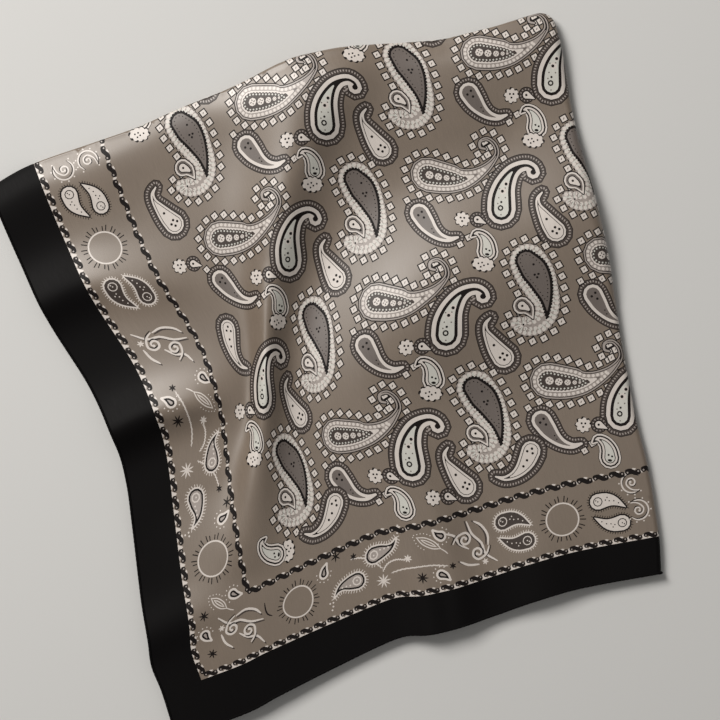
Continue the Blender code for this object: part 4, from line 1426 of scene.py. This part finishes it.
def add_cloth():
    """The four layers of cloth, from the uppermost down."""
    inks = [satin(ink.name + "_satin", *ink[1:]) for ink in INKS]
    shapes = draw_print()
    outline, rows = top_domain()
    grid, back_grid = (
        np.vstack([rows, hex_points(GRID_MARGIN, ROLL_START - GRID_MARGIN, step)])
        for step in (GRID_STEP, BACK_STEP)
    )
    top = printed_sheet("top_layer_cloth", top_surface, outline, grid, back_grid, shapes, inks)
    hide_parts("top_layer")
    plain = [inks[GROUND], inks[BLACK]]
    second = hidden_sheet("second_layer_cloth", SECOND, plain)
    third = hidden_sheet("third_layer_cloth", THIRD, plain)
    coarse = hex_points(*BOTTOM_GRID)
    bottom = printed_sheet(
        "bottom_layer_cloth", partial(hidden_surface, BOTTOM), bottom_domain(), coarse, coarse, shapes,
        inks, face_down=True,
    )
    for sheet in (second, third, bottom):
        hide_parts("hidden_layers")
    return top, second, third, bottom


def add_hems():
    """The rolled hems of the four layers, a left and a bottom one each, from the uppermost down."""
    black = satin("hem_satin", INKS[BLACK].color, HEM_ROUGHNESS, INKS[BLACK].specular, 0.0)
    near, far = np.array([0.0]), np.array([ROLL_START])
    t = stations(TOP_LEFT_HEM_START, ROLL_START + roll_length(near, far)[0], HEM_STEP)
    left = top_hem("hem_left_roll", np.zeros_like(t), t, (-1, 0), black)
    s = stations(BOTTOM_HEM_START, ROLL_START + roll_length(far, near)[0], HEM_STEP)
    bottom = top_hem("hem_bottom_roll", s, np.zeros_like(s), (0, -1), black)
    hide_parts("hem_left")
    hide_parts("hem_bottom")
    hems = [(left, bottom)]
    cut = ROLL_START - HIDDEN_END - HIDDEN_HEM_END
    round_fold = ROLL_START + math.pi * (STACK - BASE) / 6
    for name, layer in (("second", SECOND), ("third", THIRD), ("fourth", BOTTOM)):
        t_stop = round_fold if layer.fold == "top" else cut
        s_stop = round_fold if layer.fold == "right" else cut
        t = stations(HIDDEN_LEFT_HEM_START, t_stop, 2 * HEM_STEP)
        s = stations(hidden_edge(layer, 0.0) + BOTTOM_HEM_START, s_stop, 2 * HEM_STEP)
        left = hidden_hem(name + "_hem_left", layer, hidden_edge(layer, t), t, (-1, 0), black)
        bottom = hidden_hem(name + "_hem_bottom", layer, s, hidden_edge(layer, s), (0, -1), black)
        hems.append((left, bottom))
    return hems


def add_floor():
    """A pale floor, wider than any view of the scarf."""
    mesh = bpy.data.meshes.new("floor")
    corners = [(FLOOR_HALF * x, FLOOR_HALF * y, 0) for x, y in ((-1, -1), (1, -1), (1, 1), (-1, 1))]
    mesh.from_pydata(corners, [], [(0, 1, 2, 3)])
    floor = bpy.data.objects.new("floor", mesh)
    bpy.context.scene.collection.objects.link(floor)
    material = bpy.data.materials.new("pale_floor")
    material.use_nodes = True
    nodes, links = material.node_tree.nodes, material.node_tree.links
    shader = nodes["Principled BSDF"]
    noise = nodes.new("ShaderNodeTexNoise")
    noise.inputs["Scale"].default_value = FLOOR_GRAIN
    ramp = nodes.new("ShaderNodeValToRGB")
    for element, tone in zip(ramp.color_ramp.elements, FLOOR_TONES):
        element.color = tone
    links.new(noise.outputs["Fac"], ramp.inputs["Fac"])
    links.new(ramp.outputs["Color"], shader.inputs["Base Color"])
    shader.inputs["Roughness"].default_value = FLOOR_ROUGHNESS
    mesh.materials.append(material)


def add_light(light):
    """A square area light that faces the scarf."""
    data = bpy.data.lights.new(light.name, "AREA")
    data.size = light.size
    data.energy = light.energy
    data.color = LIGHT_COLOR
    obj = bpy.data.objects.new(light.name, data)
    bpy.context.scene.collection.objects.link(obj)
    flat = np.array([light.x, light.y]) / np.hypot(light.x, light.y)
    height = math.sin(math.radians(light.elevation)) * light.distance
    level = math.cos(math.radians(light.elevation))
    obj.location = (flat[0] * level * light.distance, flat[1] * level * light.distance, height)
    obj.rotation_euler = (math.radians(90 - light.elevation), 0, math.atan2(flat[0], -flat[1]))


def add_studio():
    """The lights, the world and the photo's camera, which looks straight down."""
    for light in LIGHTS:
        add_light(light)
    world = bpy.data.worlds.new("studio")
    world.use_nodes = True
    background = world.node_tree.nodes["Background"]
    background.inputs["Color"].default_value = WORLD_COLOR
    background.inputs["Strength"].default_value = WORLD_STRENGTH
    bpy.context.scene.world = world
    camera = bpy.data.cameras.new("camera")
    camera.lens = LENS
    camera.sensor_width = SENSOR
    obj = bpy.data.objects.new("camera", camera)
    obj.location = CAMERA_PLACE
    obj.rotation_euler = (0, 0, math.radians(PHOTO_TURN))
    bpy.context.scene.collection.objects.link(obj)
    bpy.context.scene.camera = obj
    bpy.context.scene.view_settings.view_transform = "Standard"


def main():
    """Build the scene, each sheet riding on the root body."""
    for obj in list(bpy.data.objects):
        bpy.data.objects.remove(obj, do_unlink=True)
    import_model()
    sheets = add_cloth()
    hems = add_hems()
    add_floor()
    add_studio()


main()
